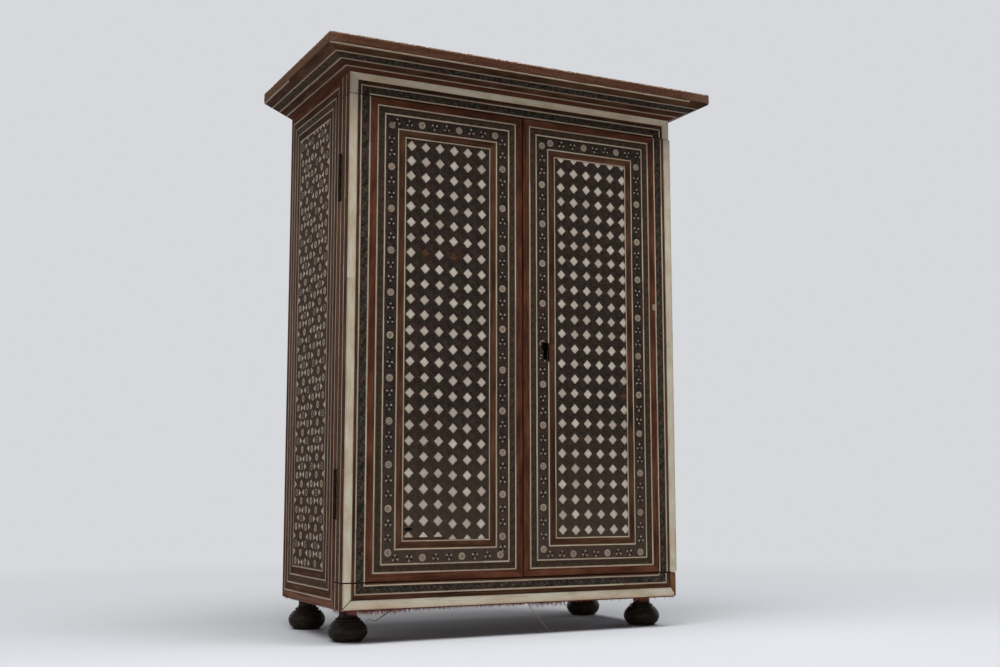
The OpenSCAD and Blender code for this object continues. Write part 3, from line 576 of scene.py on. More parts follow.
def tesserae(name, *tiles, size=1.1, repeat=(10.8, 10.77), tint=0.2, mottle=0.15, painted_low_light=0.0):
    """Fine mosaic of small triangles, sawn from one built-up rod, so that its pattern repeats.

    A tile gives where its share of the triangles begins and its colour."""
    g = Finish(name)
    along, across, seed = g.split(g.grain())
    wrapped = g.math("WRAP", along, repeat[0], 0.0)
    level = g.math("WRAP", across, repeat[1], 0.0)
    tall = size * math.sin(math.tau / 6)
    steps = []
    for turn in (0, 1, 2):
        angle = math.tau * turn / 6 + math.tau / 4
        run = g.times(wrapped, math.cos(angle) / tall)
        steps.append(g.math("FLOOR", g.sum(level, math.sin(angle) / tall, run)))
    chance = g.node("TexWhiteNoise", {0: g.join(*steps)})
    places, colours = zip(*((start, rgb(*colour)) for start, *colour in tiles))
    colour = g.ramp(chance, places, colours, True)
    hue = g.noise(g.join(g.times(along, 0.11), g.times(across, 0.2), seed), 1, 3, 0.6)
    colour = g.glaze(colour, g.span(hue, 0.50, 0.64), tint, rgb(38, 42, 33))
    colour = g.glaze(colour, g.span(hue, 0.48, 0.36), tint, rgb(60, 42, 38))
    block = g.noise(g.join(g.times(along, 0.28), g.times(across, 0.28), seed), 1, 2, 0.5)
    colour = g.shaded(colour, g.span(block, 0.34, 0.66, 1 - mottle, 1 + mottle))
    dust = g.noise(g.join(along, across, seed), 0.9, 3, 0.6)
    colour = g.glaze(colour, g.span(dust, 0.55, 0.8), 0.3, rgb(84, 72, 62))
    # painted light: paler towards the bottom, standing for the stronger light low on the front
    if painted_low_light:
        colour = g.mix(g.span(g.split(g.place())[2], 160, 40, 0, painted_low_light), colour, rgb(86, 72, 61))
    return g.done(colour, g.span(chance, 0, 1, 0.28, 0.50), g.math("ADD", chance, dust), 0.03, 0.5)


def metal(name, base, worn, patch, rough, metallic):
    """Old metal: dull, with worn bright places and dark spots."""
    g = Finish(name, metal=metallic)
    broad = g.noise(g.place(), 0.35, 4, 0.65)
    spots = g.noise(g.place(), 0.9, 4, 0.6)
    colour = g.mix(g.span(broad, 0.45, 0.7), base, worn)
    colour = g.mix(g.span(spots, 0.55, 0.8), colour, patch)
    return g.done(colour, g.span(spots, 0.3, 0.7, rough - 0.1, rough + 0.2), spots, 0.02, 0.4)


def ebonised():
    """Blackened turned wood, waxed, brown where handling has rubbed it."""
    g = Finish("ebonised_wood", specular=0.05)
    place = g.place()
    x, y, z = g.split(place)
    rub = g.streaks(place, (1.0, 1.0, 2.2), 5, 0.7, 0.16)
    fibre = g.streaks(place, (3.0, 0.3, 3.0), 3, 0.6)
    turned = g.streaks(place, (0.0, 0.0, 1.0), 2, 0.5, 2.6)
    colour = g.mix(g.span(rub, 0.50, 0.72), rgb(28, 23, 19), rgb(54, 42, 33))
    colour = g.glaze(colour, g.span(fibre, 0.55, 0.75), 0.5, rgb(66, 50, 39))
    # the neck at the front right corner has lost its black
    neck = g.times(g.span(z, 17.0, 20.0), g.span(x, 60.0, 100.0))
    brown_wear = g.mix(g.span(fibre, 0.3, 0.7), rgb(138, 78, 36), rgb(88, 48, 26))
    colour = g.glaze(colour, neck, g.span(y, 0.0, -20.0), brown_wear)
    return g.done(colour, g.span(rub, 0.3, 0.75, 0.30, 0.52), g.sum(fibre, 0.5, turned), 0.06, 0.7)


def cloth(name, deep, light):
    """Worn felted cloth."""
    g = Finish(name, rough=0.9, specular=0.2, sheen=0.3)
    fuzz = g.noise(g.place(), 2.4, 4, 0.7)
    broad = g.noise(g.place(), 0.08, 3, 0.6)
    colour = g.mix(g.span(fuzz, 0.3, 0.7), deep, light)
    colour = g.glaze(colour, g.span(broad, 0.5, 0.7), 0.4, rgb(58, 34, 30))
    return g.done(colour, None, fuzz, 0.3, 0.8)


def speckled(name, light, dark):
    """End-grain filling of rings: fine pale and dark specks."""
    g = Finish(name, rough=0.42)
    spots = g.streaks(g.grain(), (1.0, 1.0, 3.0), 2, 0.6, 2.6)
    colour = g.mix(g.span(spots, 0.38, 0.62), dark, light)
    return g.done(g.shaded(colour, g.span(g.tone(), 0, 1, 0.8, 1.15)), None, spots, 0.04, 0.5)


red = tones((46, 26, 18), (70, 41, 29), (97, 62, 45))
brown = tones((38, 25, 18), (63, 42, 30), (88, 61, 44))
raw = tones((54, 34, 25), (86, 58, 42), (116, 84, 62))
core = tones((84, 54, 34), (124, 84, 54), (158, 114, 76))
red_wood = wood("red_wood", red, 0.42)
side_red_wood = wood("side_red_wood", red, 0.42, paler_low_down=True)
brown_wood = wood("brown_wood", brown, 0.42)
bare_wood = wood("bare_wood", raw, 0.75, wear=0.5)
bone_edging = bone("bone_edging", rgb(184, 177, 159), rgb(172, 157, 137), 0.45)
bone_line = bone("bone_line", rgb(160, 150, 134), rgb(148, 128, 113))
# a darker copy of bone_line for the sides and the cornice: painted shade
shade_painted_line = bone("shade_painted_line", rgb(144, 133, 118), rgb(132, 113, 99))
lozenge = diamond_bone("lozenge_bone", (151, 140, 129), (161, 151, 140), (168, 158, 146), (178, 169, 156))
star_bone = diamond_bone("star_bone", (126, 114, 101), (136, 125, 111), (145, 134, 120), (155, 145, 131))
ring_bone = speckled("ring_bone", rgb(150, 137, 121), rgb(110, 96, 82))
ring_core = speckled("ring_core", rgb(130, 114, 97), rgb(80, 66, 55))
dot_bone = speckled("dot_bone", rgb(164, 152, 140), rgb(134, 121, 108))
grey_ring = speckled("grey_ring", rgb(150, 139, 125), rgb(108, 96, 84))
black_dot = speckled("black_dot", rgb(22, 18, 16), rgb(12, 10, 9))
band_mosaic = tesserae(
    "band_mosaic", (0.0, 30, 24, 21), (0.34, 50, 39, 31), (0.60, 46, 50, 41),
    (0.78, 70, 64, 57), (0.88, 56, 38, 38), (0.96, 96, 88, 76),
    repeat=(9.1, 5.6), tint=0.55, mottle=0.36,
)
inner_mosaic = tesserae(
    "inner_mosaic", (0.0, 42, 32, 25), (0.36, 54, 43, 33), (0.72, 64, 53, 41), (0.90, 50, 48, 38),
    size=1.0, repeat=(7.3, 5.2),
)
ground = tesserae(
    "ground_mosaic", (0.0, 29, 23, 20), (0.40, 48, 38, 31), (0.66, 40, 43, 34),
    (0.80, 55, 47, 42), (0.90, 52, 37, 39), tint=0.3, painted_low_light=0.34,
)
# a paler copy of the ground mosaic for the sides: painted sheen
sheen_painted_side_ground = tesserae(
    "side_ground_mosaic", (0.0, 42, 31, 23), (0.40, 64, 48, 36), (0.66, 54, 47, 35),
    (0.80, 74, 60, 48), (0.90, 66, 45, 37),
)
# a paler copy of band_mosaic for the faces that look sideways: painted sheen
side_mosaic = tesserae(
    "side_band_mosaic", (0.0, 42, 31, 24), (0.34, 66, 50, 38), (0.60, 60, 56, 42),
    (0.78, 82, 70, 56), (0.88, 70, 48, 42), (0.96, 104, 90, 74),
    repeat=(9.1, 5.6), tint=0.3, mottle=0.2,
)
iron = metal("iron", rgb(27, 23, 20), rgb(44, 38, 33), rgb(38, 26, 19), 0.6, 0.2)
brass = metal("brass", rgb(140, 112, 62), rgb(176, 146, 88), rgb(76, 62, 38), 0.42, 1.0)
black_wood = ebonised()
baize_red = cloth("red_baize", rgb(76, 22, 22), rgb(106, 38, 35))
fringe_red = cloth("red_fibre", rgb(74, 28, 26), rgb(110, 50, 44))
thread_red = cloth("red_thread", rgb(104, 58, 50), rgb(142, 92, 82))
thread_dark = cloth("dark_thread", rgb(32, 25, 23), rgb(52, 42, 37))


# Rails of the front, above and below the doors

rails = Face("rail", "carcass", [
    ("edging", edging_cut, "bone_edging", bone_edging, "bone", "edging"),
    ("lines", line_cut, "lines", bone_line, "bone", "stringing"),
    ("brown", (), "brown_strips", brown_wood, "brown_wood", "bands"),
    ("mosaic", (), "mosaic_strips", band_mosaic, "mosaic"),
    ("red", (), "end_strips", red_wood, "red_wood"),
    ("end_mosaic", (), "end_mosaic_strips", side_mosaic, "mosaic"),
])
plinth = Face("plinth", "carcass", [("bare", (0.6, -0.55, 0.2), "bare_wood", bare_wood, "red_wood")])
body_face = (-half_w, base_z, half_w, top_z)
plinth_area = (-half_w, base_z, half_w, plinth_top)
frieze_area = (-half_w, frieze_low, half_w, top_z)
rail_boxes = [body_face]
for across, foot, head in zip(door_insets, plinth_marks, frieze_marks):
    rail_boxes.append(shrunk(body_face, across, foot, across, head))


def rail_pieces(i):
    """What lies on the plinth and on the frieze of the i-th ring of strips round the front."""
    for outline, along in ring_sides(rail_boxes[i], rail_boxes[i + 1]):
        for part in (plinth_area, frieze_area):
            cut = clip(outline, part)
            if cut:
                yield cut, along, part is plinth_area


# the plinth's right end has lost its upright edging, and the strip below it is broken there
broken_x = half_w - 1.4
missing_from = half_w - 4.6
edging_top = base_z + edging_w
broken_strip = [
    (-half_w, base_z), (broken_x - 0.6, base_z), (broken_x, base_z + 2.1),
    (broken_x - 1.3, base_z + 3.4), (missing_from, edging_top), (-half_w + edging_w, edging_top),
]
for cut, along, on_plinth in rail_pieces(0):
    if on_plinth and along == (1, 0):
        cut = broken_strip
    elif on_plinth and extent(cut)[0] > 0:
        continue
    elif on_plinth:
        # this mitre has opened
        cut = [(u, v if v > base_z + 8 else v + 0.9) for u, v in cut]
    half = edging_w / 2
    rails.edging.add(FRONT, cut, along, size=(endless, half) if along == (1, 0) else (half, endless))
for inlay, i in ((rails.brown, 1), (rails.mosaic, 2)):
    for cut, along, _ in rail_pieces(i):
        inlay.add(FRONT, cut, along)
u0, v0, u1, v1 = rail_boxes[3]
rails.brown.add(FRONT, rectangle(u0, v0, u1, plinth_top))
rails.brown.add(FRONT, rectangle(u0, frieze_low, u1, v1))

for u0, v0, u1, v1 in rail_boxes[2:]:
    for v in (v0, v1):
        stringing(rails.lines, FRONT, (u0 - half_line, v), (u1 + half_line, v), every=70)
    for u in (u0, u1):
        stringing(rails.lines, FRONT, (u, v0 + half_line), (u, plinth_top))
        stringing(rails.lines, FRONT, (u, frieze_low), (u, v1 - half_line))

plinth.bare.add(FRONT, [
    (missing_from + 0.1, plinth_top), (missing_from + 0.1, edging_top + 0.3),
    (half_w, base_z + 1.0), (half_w, plinth_top),
], (0, 1))


def end_strips(face, plane, spans):
    """Strips down a door's outer edge or the end of a rail; spans are (low, high, at hinge)."""
    for z0, z1, at_hinge in spans:
        stop = knuckle_front if at_hinge else door_back
        for inlay, start, end in zip((face.red, face.end_mosaic, face.red), edge_marks, edge_marks[1:]):
            cut = clip(rectangle(front_y + start, z0, front_y + end, z1), (front_y, z0, stop, z1))
            inlay.add(plane, cut, (0, 1), proud=edge_proud, deep=0.0, bevel=0.02)
        for mark in edge_marks[1:-1]:
            middle = front_y + mark
            if middle + half_line < stop:
                stringing(face.lines, plane, (middle, z0), (middle, z1), proud=edge_proud + 0.04)


for plane in (LEFT_SIDE, RIGHT_SIDE):
    end_strips(rails, plane, [(base_z, plinth_top, False), (frieze_low, top_z, False)])
rails.build()
plinth.build()


# Doors

keyhole_x = right_meet + 18
keyhole_z = base_z + 179.3
key_r = 3.3
key_slot = 3.4
key_slot_l = 9.2
trefoil_r = 1.9
dot_r = 0.6
ring_r = 2.5
ring_core_r = 1.25
ring_pin_r = 0.36
border_middle = 15.75
motif_row_z = 352.0
lozenge_w = 6.66
lozenge_h = 6.84
lozenge_tip = 0.3


def trefoil(face, u, v, turn=None):
    """Three white dots and three black ones; turn 0 has one white dot up."""
    if turn is None:
        turn = rng.choice((0, 0, 0, 1, 1)) * math.pi + jitter(0.15)
    u += jitter(0.15)
    v += jitter(0.15)
    for i in range(6):
        angle = turn + math.tau / 4 + math.tau * i / 6
        reach = trefoil_r * (0.95 if i % 2 else 1)
        spot = (u + reach * math.cos(angle), v + reach * math.sin(angle))
        if i % 2:
            face.black.add(FRONT, disc(*spot, dot_r * 0.95, 10), size=(dot_r, dot_r))
        else:
            face.dots.add(FRONT, disc(*spot, dot_r * rng.uniform(0.88, 1.1), 10), size=(2, 2))


def ring(face, u, v):
    u += jitter(0.15)
    v += jitter(0.15)
    face.rings.add(FRONT, disc(u, v, ring_r, 24), size=(3.4, 3.4))
    face.core.add(FRONT, disc(u, v, ring_core_r, 16), size=(2, 2))
    face.dots.add(FRONT, disc(u, v, ring_pin_r, 8), size=(1, 1), tone=0.8, proud=motif_proud + 0.07)


def motif(face, k, u, v):
    """Every third one of a border is a ring, the others are trefoils."""
    if k % 3 == 0:
        ring(face, u, v)
    else:
        trefoil(face, u, v)


def motif_column(face, u, top, pitch, steps):
    for k in steps:
        motif(face, k, u, top - pitch * k)


def motif_rows(face, *rows):
    """The level rows together; each gives the first motif's number, its place, the pitch and the rise."""
    for j in range(9):
        for first, u, v, pitch, rise in rows:
            motif(face, first + j, u + pitch * j, v + rise * j)


def lozenge_outline(u, v, turn, size):
    """A lozenge with slightly blunt tips."""
    half_u = lozenge_w / 2 * size
    half_v = lozenge_h / 2 * size
    tip = lozenge_tip
    points = [
        (half_u, -tip), (half_u, tip), (tip, half_v), (-tip, half_v),
        (-half_u, tip), (-half_u, -tip), (-tip, -half_v), (tip, -half_v),
    ]
    c, s = math.cos(turn), math.sin(turn)
    return [(u + c * a - s * b, v + s * a + c * b) for a, b in points]


def lozenges(face, field, start, step, rows, pitches, lost):
    """Columns of lozenges from the top down, each with its pitch; brown wood stands for the lost ones."""
    for column, pitch in enumerate(pitches):
        u = start[0] + step * column
        for row in rows:
            v = start[1] - pitch * row
            spot = (u + jitter(0.25), v + jitter(0.25))
            outline = lozenge_outline(*spot, jitter(0.05), rng.uniform(0.94, 1.04))
            inlay = face.brown if (column, row) in lost else face.white
            inlay.add(FRONT, clip(outline, field), size=(lozenge_w / 2, lozenge_h / 2), proud=motif_proud)


def left_motifs(face, field):
    column = left_outer + 31.15
    top = 349.1
    # the corner ring has lost its bone
    face.core.add(FRONT, disc(column, top, 2.3, 16), size=(3, 3), tone=0.6)
    motif_column(face, column, top, 9.68, range(1, 31))
    column = left_meet - border_middle
    motif_column(face, column, 328.1, 9.63, range(-2, 28))
    trefoil(face, column, 60.2, math.pi)
    motif_rows(face, (1, -95.3, motif_row_z, 9.45, 0.0), (1, -93.4, 54.9, 9.76, 0.1))
    # two strips of three columns, the right one cut a little longer
    first, step = -84.3, 10.83
    lozenges(face, field, (first, 336.6), step, range(26), [10.722] * 3 + [10.81] * 3, {(3, 7), (1, 7)})
    filled = rectangle(field[0], field[1], first + 2.5 * step, field[1] + 1.9)
    face.brown.add(FRONT, filled, (1, 0), proud=motif_proud + 0.02)
    # a black patch where ground has broken out, standing for the hollow
    hollow = [(-87.6, 73.4), (-84.4, 72.7), (-81.0, 73.5), (-81.6, 74.8), (-85.0, 75.0), (-87.2, 74.5)]
    face.black.add(FRONT, hollow, size=(9, 9), proud=0.01)


def right_motifs(face, field):
    column = right_meet + border_middle
    top, pitch = 349.5, 9.7
    # the keyhole has cut these two
    cut_ring, cut_trefoil = 15, 16
    motif_column(face, column, top, pitch, [k for k in range(31) if k not in (cut_ring, cut_trefoil)])
    motif_column(face, right_outer - 31.2, 342.7, 9.6, range(30))
    motif_rows(face, (0, 25.6, motif_row_z, 9.45, 0.0), (1, 24.1, 55.0, 9.41, 0.0))
    turns = [math.radians(50 + 17 * i) for i in range(11)]
    outer_rim, inner_rim = (arc(column, top - pitch * cut_ring, radius, turns) for radius in (ring_r, 1.6))
    for i in range(len(turns) - 1):
        piece = outer_rim[i:i + 2] + inner_rim[i:i + 2][::-1]
        face.rings.add(FRONT, piece, size=(5, 5), tone=0.3)
    for du, dv in ((-3.4, -6.3), (-4.2, -8.6), (-0.6, -10.3)):
        face.dots.add(FRONT, disc(keyhole_x + du, keyhole_z + dv, 0.55, 8), size=(2, 2), tone=0.3)
    # a plug in the red border
    plug = [(114.7 + 1.9 * a, 236.4 + 2.6 * b) for a, b in disc(0, 0, 1, 20)]
    face.rings.add(FRONT, plug, size=(3, 3.8), tone=0.1, proud=0.03)
    lozenges(face, field, (34.4, 330.9), 10.55, range(-1, 25), [10.8] * 6, {(5, 15)})


def keyhole_half(sign):
    """Half the outline of the keyhole from its foot to its top, on the left for -1."""
    half = key_slot / 2
    foot = keyhole_z - key_slot_l
    meets = math.asin(half / key_r)
    points = [(keyhole_x, foot), (keyhole_x + sign * half, foot)]
    steps = 14
    for i in range(steps + 1):
        angle = meets + (math.pi - meets) * i / steps
        points.append((keyhole_x + sign * key_r * math.sin(angle), keyhole_z - key_r * math.cos(angle)))
    return points


def add_beside_keyhole(inlay, outline):
    """The upright strip whose edge the keyhole's round part just reaches."""
    u0, v0, u1, v1 = extent(outline)
    half = math.acos((u0 - keyhole_x) / key_r)
    near = key_r * math.sin(half)
    foot, head = keyhole_z - near, keyhole_z + near
    rim = arc(keyhole_x, keyhole_z, key_r, [half - 2 * half * i / 8 for i in range(9)])
    ends = [clip(outline, (u0, v0, u1, foot)), clip(outline, (u0, head, u1, v1))]
    for part in ends + [rim + [(u1, foot), (u1, head)]]:
        inlay.add(FRONT, part, (0, 1), size=(3, endless), bevel=0)


def add_keyhole_strip(inlay, outline):
    """A strip of the border with the keyhole cut through it."""
    u0, v0, u1, v1 = extent(outline)
    foot, head = keyhole_z - key_slot_l, keyhole_z + key_r
    left = [(u0, foot)] + keyhole_half(-1) + [(u0, head)]
    right = keyhole_half(1)[::-1] + [(u1, foot), (u1, head)]
    for part in (clip(outline, (u0, v0, u1, foot)), clip(outline, (u0, head, u1, v1)), left, right):
        inlay.add(FRONT, part, (0, 1), size=(5, endless), bevel=0)


def door(side, outer, meet, add_motifs):
    """The whole inlaid face of a door and the strips down its outer edge."""
    is_right = side == "right"
    inwards = -1 if is_right else 1
    face = Face(f"{side}_door", f"{side}_door", [
        ("edging", edging_cut, "bone_edging", bone_edging, "bone", "edging"),
        ("lines", line_cut, "lines", bone_line, "bone", "stringing"),
        ("red", (), "red_borders", red_wood, "red_wood", "bands"),
        ("brown", (), "brown_strips", brown_wood, "brown_wood"),
        ("mosaic", (), "mosaic_strips", band_mosaic, "mosaic"),
        ("inner_mosaic", (), "inner_mosaic", inner_mosaic, "mosaic"),
        ("end_mosaic", (), "end_mosaic", side_mosaic, "mosaic"),
        ("ground", (), "grounds", ground, "dark_wood", "field"),
        ("white", (0.5, motif_proud, 0.06), "lozenges", lozenge, "bone"),
        ("rings", motif_cut, "rings", ring_bone, "bone"),
        ("dots", motif_cut, "dots", dot_bone, "bone"),
        ("black", motif_cut, "black_dots", black_dot, "dark_wood"),
        ("core", (0.3, motif_proud + 0.04, 0.04), "ring_cores", ring_core, "brown_wood"),
    ])

    def upright(start, end, z0=door_low, z1=door_high):
        """A strip between two distances from the outer edge."""
        a, b = sorted((outer + inwards * start, outer + inwards * end))
        return rectangle(a, z0, b, z1)

    def panel(start):
        """From a distance from the outer edge to the meeting edge."""
        a, b = sorted((outer + inwards * start, meet))
        return (a, door_low, b, door_high)

    cut_z = rng.uniform(0.35, 0.65) * (door_high - door_low) + door_low
    face.edging.add(FRONT, upright(0, edging_w, z1=cut_z - 0.05), (0, 1), tone=0.62)
    face.edging.add(FRONT, upright(0, edging_w, z0=cut_z + 0.05), (0, 1), tone=0.5)
    face.brown.add(FRONT, upright(*door_insets[:2]), (0, 1))
    face.mosaic.add(FRONT, upright(*door_insets[1:]), (0, 1))
    for mark in door_insets[1:]:
        u = outer + inwards * mark
        stringing(face.lines, FRONT, (u, door_low), (u, door_high))

    boxes = [panel(door_insets[2])] + [shrunk(panel(panel_start), mark) for mark in panel_marks]
    field = boxes[4]
    for inlay, i in ((face.red, 0), (face.inner_mosaic, 1), (face.brown, 3), (face.ground, 2)):
        for outline, along in ring_sides(boxes[i], boxes[i + 1]):
            at_keyhole = is_right and along == (0, 1) and outline[0][0] < keyhole_x + 5
            if at_keyhole and inlay is face.brown:
                add_beside_keyhole(inlay, outline)
            elif at_keyhole and inlay is face.ground:
                add_keyhole_strip(inlay, outline)
            else:
                inlay.add(FRONT, outline, along)
    face.ground.add(FRONT, rectangle(*field), size=(endless, endless))
    for box in boxes[1:]:
        if is_right and box is boxes[3]:
            # the keyhole has cut this line, and brown filler stands for what it lost below
            gap_low, gap_high = keyhole_z - 10.8, keyhole_z + 2.7
            u, low_end, _, high_end = box
            line_ring(face.lines, FRONT, box, left=False)
            stringing(face.lines, FRONT, (u, low_end + half_line), (u, gap_low))
            stringing(face.lines, FRONT, (u, gap_high), (u, high_end - half_line))
            filler = rectangle(u - 0.45, keyhole_z - 10.7, u + 0.45, keyhole_z - 3.2)
            face.brown.add(FRONT, filler, (0, 1))
        elif box is field:
            line_ring(face.lines, FRONT, box, width=0.8, every=30)
        else:
            line_ring(face.lines, FRONT, box)
    end_strips(face, RIGHT_DOOR_EDGE if is_right else LEFT_SIDE, between_hinges(door_low, door_high))
    add_motifs(face, shrunk(field, 0.5))
    face.build()


door("left", left_outer, left_meet, left_motifs)
door("right", right_outer, right_meet, right_motifs)


# Sides

star_pitch = 36.5
column_step = 32.5
first_star = (3.0, 61.8)
cell_r = star_pitch / 3
# outer and inner radius of the rings, and the radius of what they hold
star_ring = (2.7, 2.15)
star_heart_r = 0.45
corner_ring = (2.9, 0.95)
corner_heart_r = 0.9
side_stretch = column_step / (star_pitch * math.cos(math.tau / 12))


def hexagon_ring(inlay, plane, u, v, outer, inner, box, tone, bevel):
    """A hexagonal ring made of six mitred pieces."""
    for i in range(6):
        a, b = math.tau * i / 6, math.tau * (i + 1) / 6
        outline = arc(u, v, outer, (a, b)) + arc(u, v, inner, (b, a))
        inlay.add(plane, clip(outline, box), size=(40, 40), tone=tone, bevel=bevel)


def add_triangle(inlay, plane, u, v, angle, box):
    turn = angle + jitter(0.06)
    c, s = math.cos(turn), math.sin(turn)
    near, far, half = 5.0, 9.4, 2.35
    points = [(near, -half), (far, 0), (near, half)]
    outline = [(u + (a * c - b * s) * side_stretch, v + a * s + b * c) for a, b in points]
    inlay.add(plane, clip(outline, box), size=(5, 5), tone=rng.uniform(0.3, 1))


def lattice():
    """The points of the lattice, each with the number of its column."""
    for i in range(-3, 8):
        for j in range(-2, 20):
            if (i + j) % 2 == 0:
                yield i, first_star[0] + column_step / 3 * i, first_star[1] + star_pitch / 2 * j


def is_near(box, u, v, reach):
    return box[0] - reach < u < box[2] + reach and box[1] - reach < v < box[3] + reach


def points_out(i, k):
    """True when a point in column i has a triangle in direction k.

    Every third column holds the stars; the others point at one another only."""
    step = round(2 * math.cos(math.tau * k / 6))
    return i % 3 == 0 or (i + step) % 3 != 0


def star_lattice(face, plane, field):
    """Stars of bone triangles round small hexagons, joined by thick hexagonal rings."""
    box = shrunk(field, 0.5)
    for i, u, v in lattice():
        if is_near(field, u, v, 12):
            spot = (u + jitter(0.2), v + jitter(0.2))
            hexagon_ring(face.white, plane, *spot, *star_ring, box, rng.uniform(0.0, 0.4), 0.02)
            face.white.add(plane, clip(disc(u, v, star_heart_r, 6), box), size=(3, 3), tone=0.5)
            for k in range(6):
                if points_out(i, k):
                    add_triangle(face.white, plane, u, v, math.tau * k / 6, box)
    for _, u, v in lattice():
        # rings stand on the corners of the cell round each point
        for corner_v in (v + cell_r, v - cell_r):
            if is_near(field, u, corner_v, 3):
                spot = (u + jitter(0.15), corner_v + jitter(0.15))
                hexagon_ring(face.grey, plane, *spot, *corner_ring, box, rng.random(), 0.04)
                face.dark.add(plane, clip(disc(*spot, corner_heart_r, 6), box), size=(3, 3))


def side(name, plane):
    """The inlaid face of one side of the carcass."""
    face = Face(f"{name}_side", "carcass", [
        ("lines", line_cut, "lines", shade_painted_line, "bone", "stringing"),
        ("red", side_cut, "red_border", side_red_wood, "red_wood", "bands"),
        ("brown", side_cut, "brown_strips", brown_wood, "brown_wood"),
        ("mosaic", side_cut, "mosaic_strips", side_mosaic, "mosaic"),
        ("ground", side_cut, "ground", sheen_painted_side_ground, "dark_wood", "field"),
        ("white", motif_cut, "stars", star_bone, "bone"),
        ("grey", motif_cut, "rings", grey_ring, "mosaic"),
        ("dark", (0.4, motif_proud - 0.02, 0.02), "ring_hearts", black_dot, "dark_wood"),
    ])
    boxes = [shrunk((side_front, base_z, side_back, top_z), mark) for mark in side_marks]
    for inlay, outside, inside in zip((face.red, face.brown, face.mosaic, face.brown), boxes, boxes[1:]):
        for outline, along in ring_sides(outside, inside):
            if inlay is face.red and along == (0, 1) and extent(outline)[0] < 0:
                add_notched(inlay, plane, outline)
            else:
                inlay.add(plane, outline, along)
    for box in boxes[1:]:
        line_ring(face.lines, plane, box, every=60)
    face.ground.add(plane, rectangle(*boxes[-1]), (0, 1), size=(endless, endless))
    star_lattice(face, plane, boxes[-1])
    face.build()


def add_notched(inlay, plane, outline):
    """The front border of a side, cut back at the hinges to clear their knuckles."""
    _, foot, _, head = extent(outline)
    for z0, z1, at_hinge in between_hinges(foot, head):
        start = knuckle_back if at_hinge else side_front
        inlay.add(plane, clip(outline, (start, z0, endless, z1)), (0, 1))


side("left", LEFT_SIDE)
side("right", RIGHT_SIDE)


# Cornice

cornice_in = half_w - high("cornice_back").x
ledge = high("top_panel").x - half_w
panel_low = low("top_panel").z - top_z
cornice_h = cornice_top - top_z
cornice_front = low("cornice_front").y
fascia_low = slope_h + 1.1
chipped_h = 3.2
station_step = 1.6
# what is gone of the top line at the front's right end, and at the left side's front
front_loss = 17
left_loss = 68


def on_slope(along, deep=0.0):
    return (along * slope_out - deep * slope_up, along * slope_up + deep * slope_out)


def cornice_profile():
    """Offset out of the body, height over it and roughness, right round the moulding."""
    # the ground under the strips of the slope, then the steps of the fascia
    ground_deep = 0.8
    steps = 8
    fascia_h = cornice_h - fascia_low - 0.4
    points = [(-cornice_in, 0, 0), (-6, 0, 0), (0, 0, 0), (*on_slope(3.6), 0.3), (*on_slope(7.1), 0.3)]
    points += [(*on_slope(way, ground_deep), 0) for way in (7.3, 15, slope_len - 0.2)]
    points += [(cornice_out - 0.03, fascia_low + fascia_h * i / steps, 1) for i in range(steps + 1)]
    for way, rough in ((0.4, 1), (1.3, 0.9), (2.4, 0.7), (4, 0.4)):
        points.append((cornice_out - way, cornice_h, rough))
    points += [(8, cornice_h, 0.15), (ledge, cornice_h, 0)]
    points += [(ledge, panel_low, 0), (-cornice_in, panel_low, 0)]
    return points


def cornice_point(run, t, out, up):
    """A point of the moulding; t runs from 0 to 1 along each length."""
    if run == "front":
        return Vector(((2 * t - 1) * (half_w + out), front_y - out, top_z + up))
    y = front_y - out + (side_back - front_y + out) * t
    x = half_w + out
    return Vector((-x if run == "left" else x, y, top_z + up))


def worn(point, out_way, amount, up, wear):
    """Chips the fascia's top edge and roughens its face; it only ever takes wood away."""
    if amount <= 0:
        return point
    face = 0.10 + 0.16 * noise.noise(point / 1.7) + 0.14 * noise.noise(point * 0.28)
    near_top = max(0.0, min(1.0, (up - (cornice_h - chipped_h)) / chipped_h))
    chip = 0.3 * noise.noise(point / 14 + Vector((3, 7, 1))) + 0.6 * noise.noise(point / 3.1)
    chip += 0.5 * noise.noise(point / 1.3)
    chip = max(0.0, chip - 0.22) * near_top * wear
    moved = point.copy()
    moved -= out_way * amount * (max(0.0, face) + 0.8 * chip)
    moved.z -= amount * 0.9 * chip * near_top
    return moved


def cornice_run(run, out_way, material):
    """One length of the moulding with mitred ends, closed."""
    profile = cornice_profile()
    count = len(profile)
    length = 2 * (half_w + cornice_out) if run == "front" else side_back - front_y + cornice_out
    stations = round(length / station_step)
    girths = [0]
    for (a, b, _), (c, d, _) in zip(profile, profile[1:]):
        girths.append(girths[-1] + math.hypot(c - a, d - b))
    points, faces, grain = [], [], []
    for s in range(stations + 1):
        t = s / stations
        # the front's right end is the most chipped
        wear = 1.5 if run == "front" and t > 0.9 else 1.0
        for (out, up, amount), girth in zip(profile, girths):
            points.append(worn(cornice_point(run, t, out, up), out_way, amount, up, wear) * MM)
            grain += [t * length, girth, 5.0]
    for start in range(0, stations * count, count):
        for i in range(count):
            j = (i + 1) % count
            faces.append((start + i, start + j, start + count + j, start + count + i))
    faces.append(tuple(reversed(range(count))))
    faces.append(tuple(range(stations * count, (stations + 1) * count)))
    node = f"cornice_{run}"
    piece = new_piece(f"{node}_moulding", points, faces, material, "carcass", "red_wood", node)
    mesh = bmesh.new()
    mesh.from_mesh(piece.data)
    bmesh.ops.recalc_face_normals(mesh, faces=mesh.faces)
    mesh.to_mesh(piece.data)
    mesh.free()
    keep_marks(piece, grain, [0, 0, 0.5] * len(points))


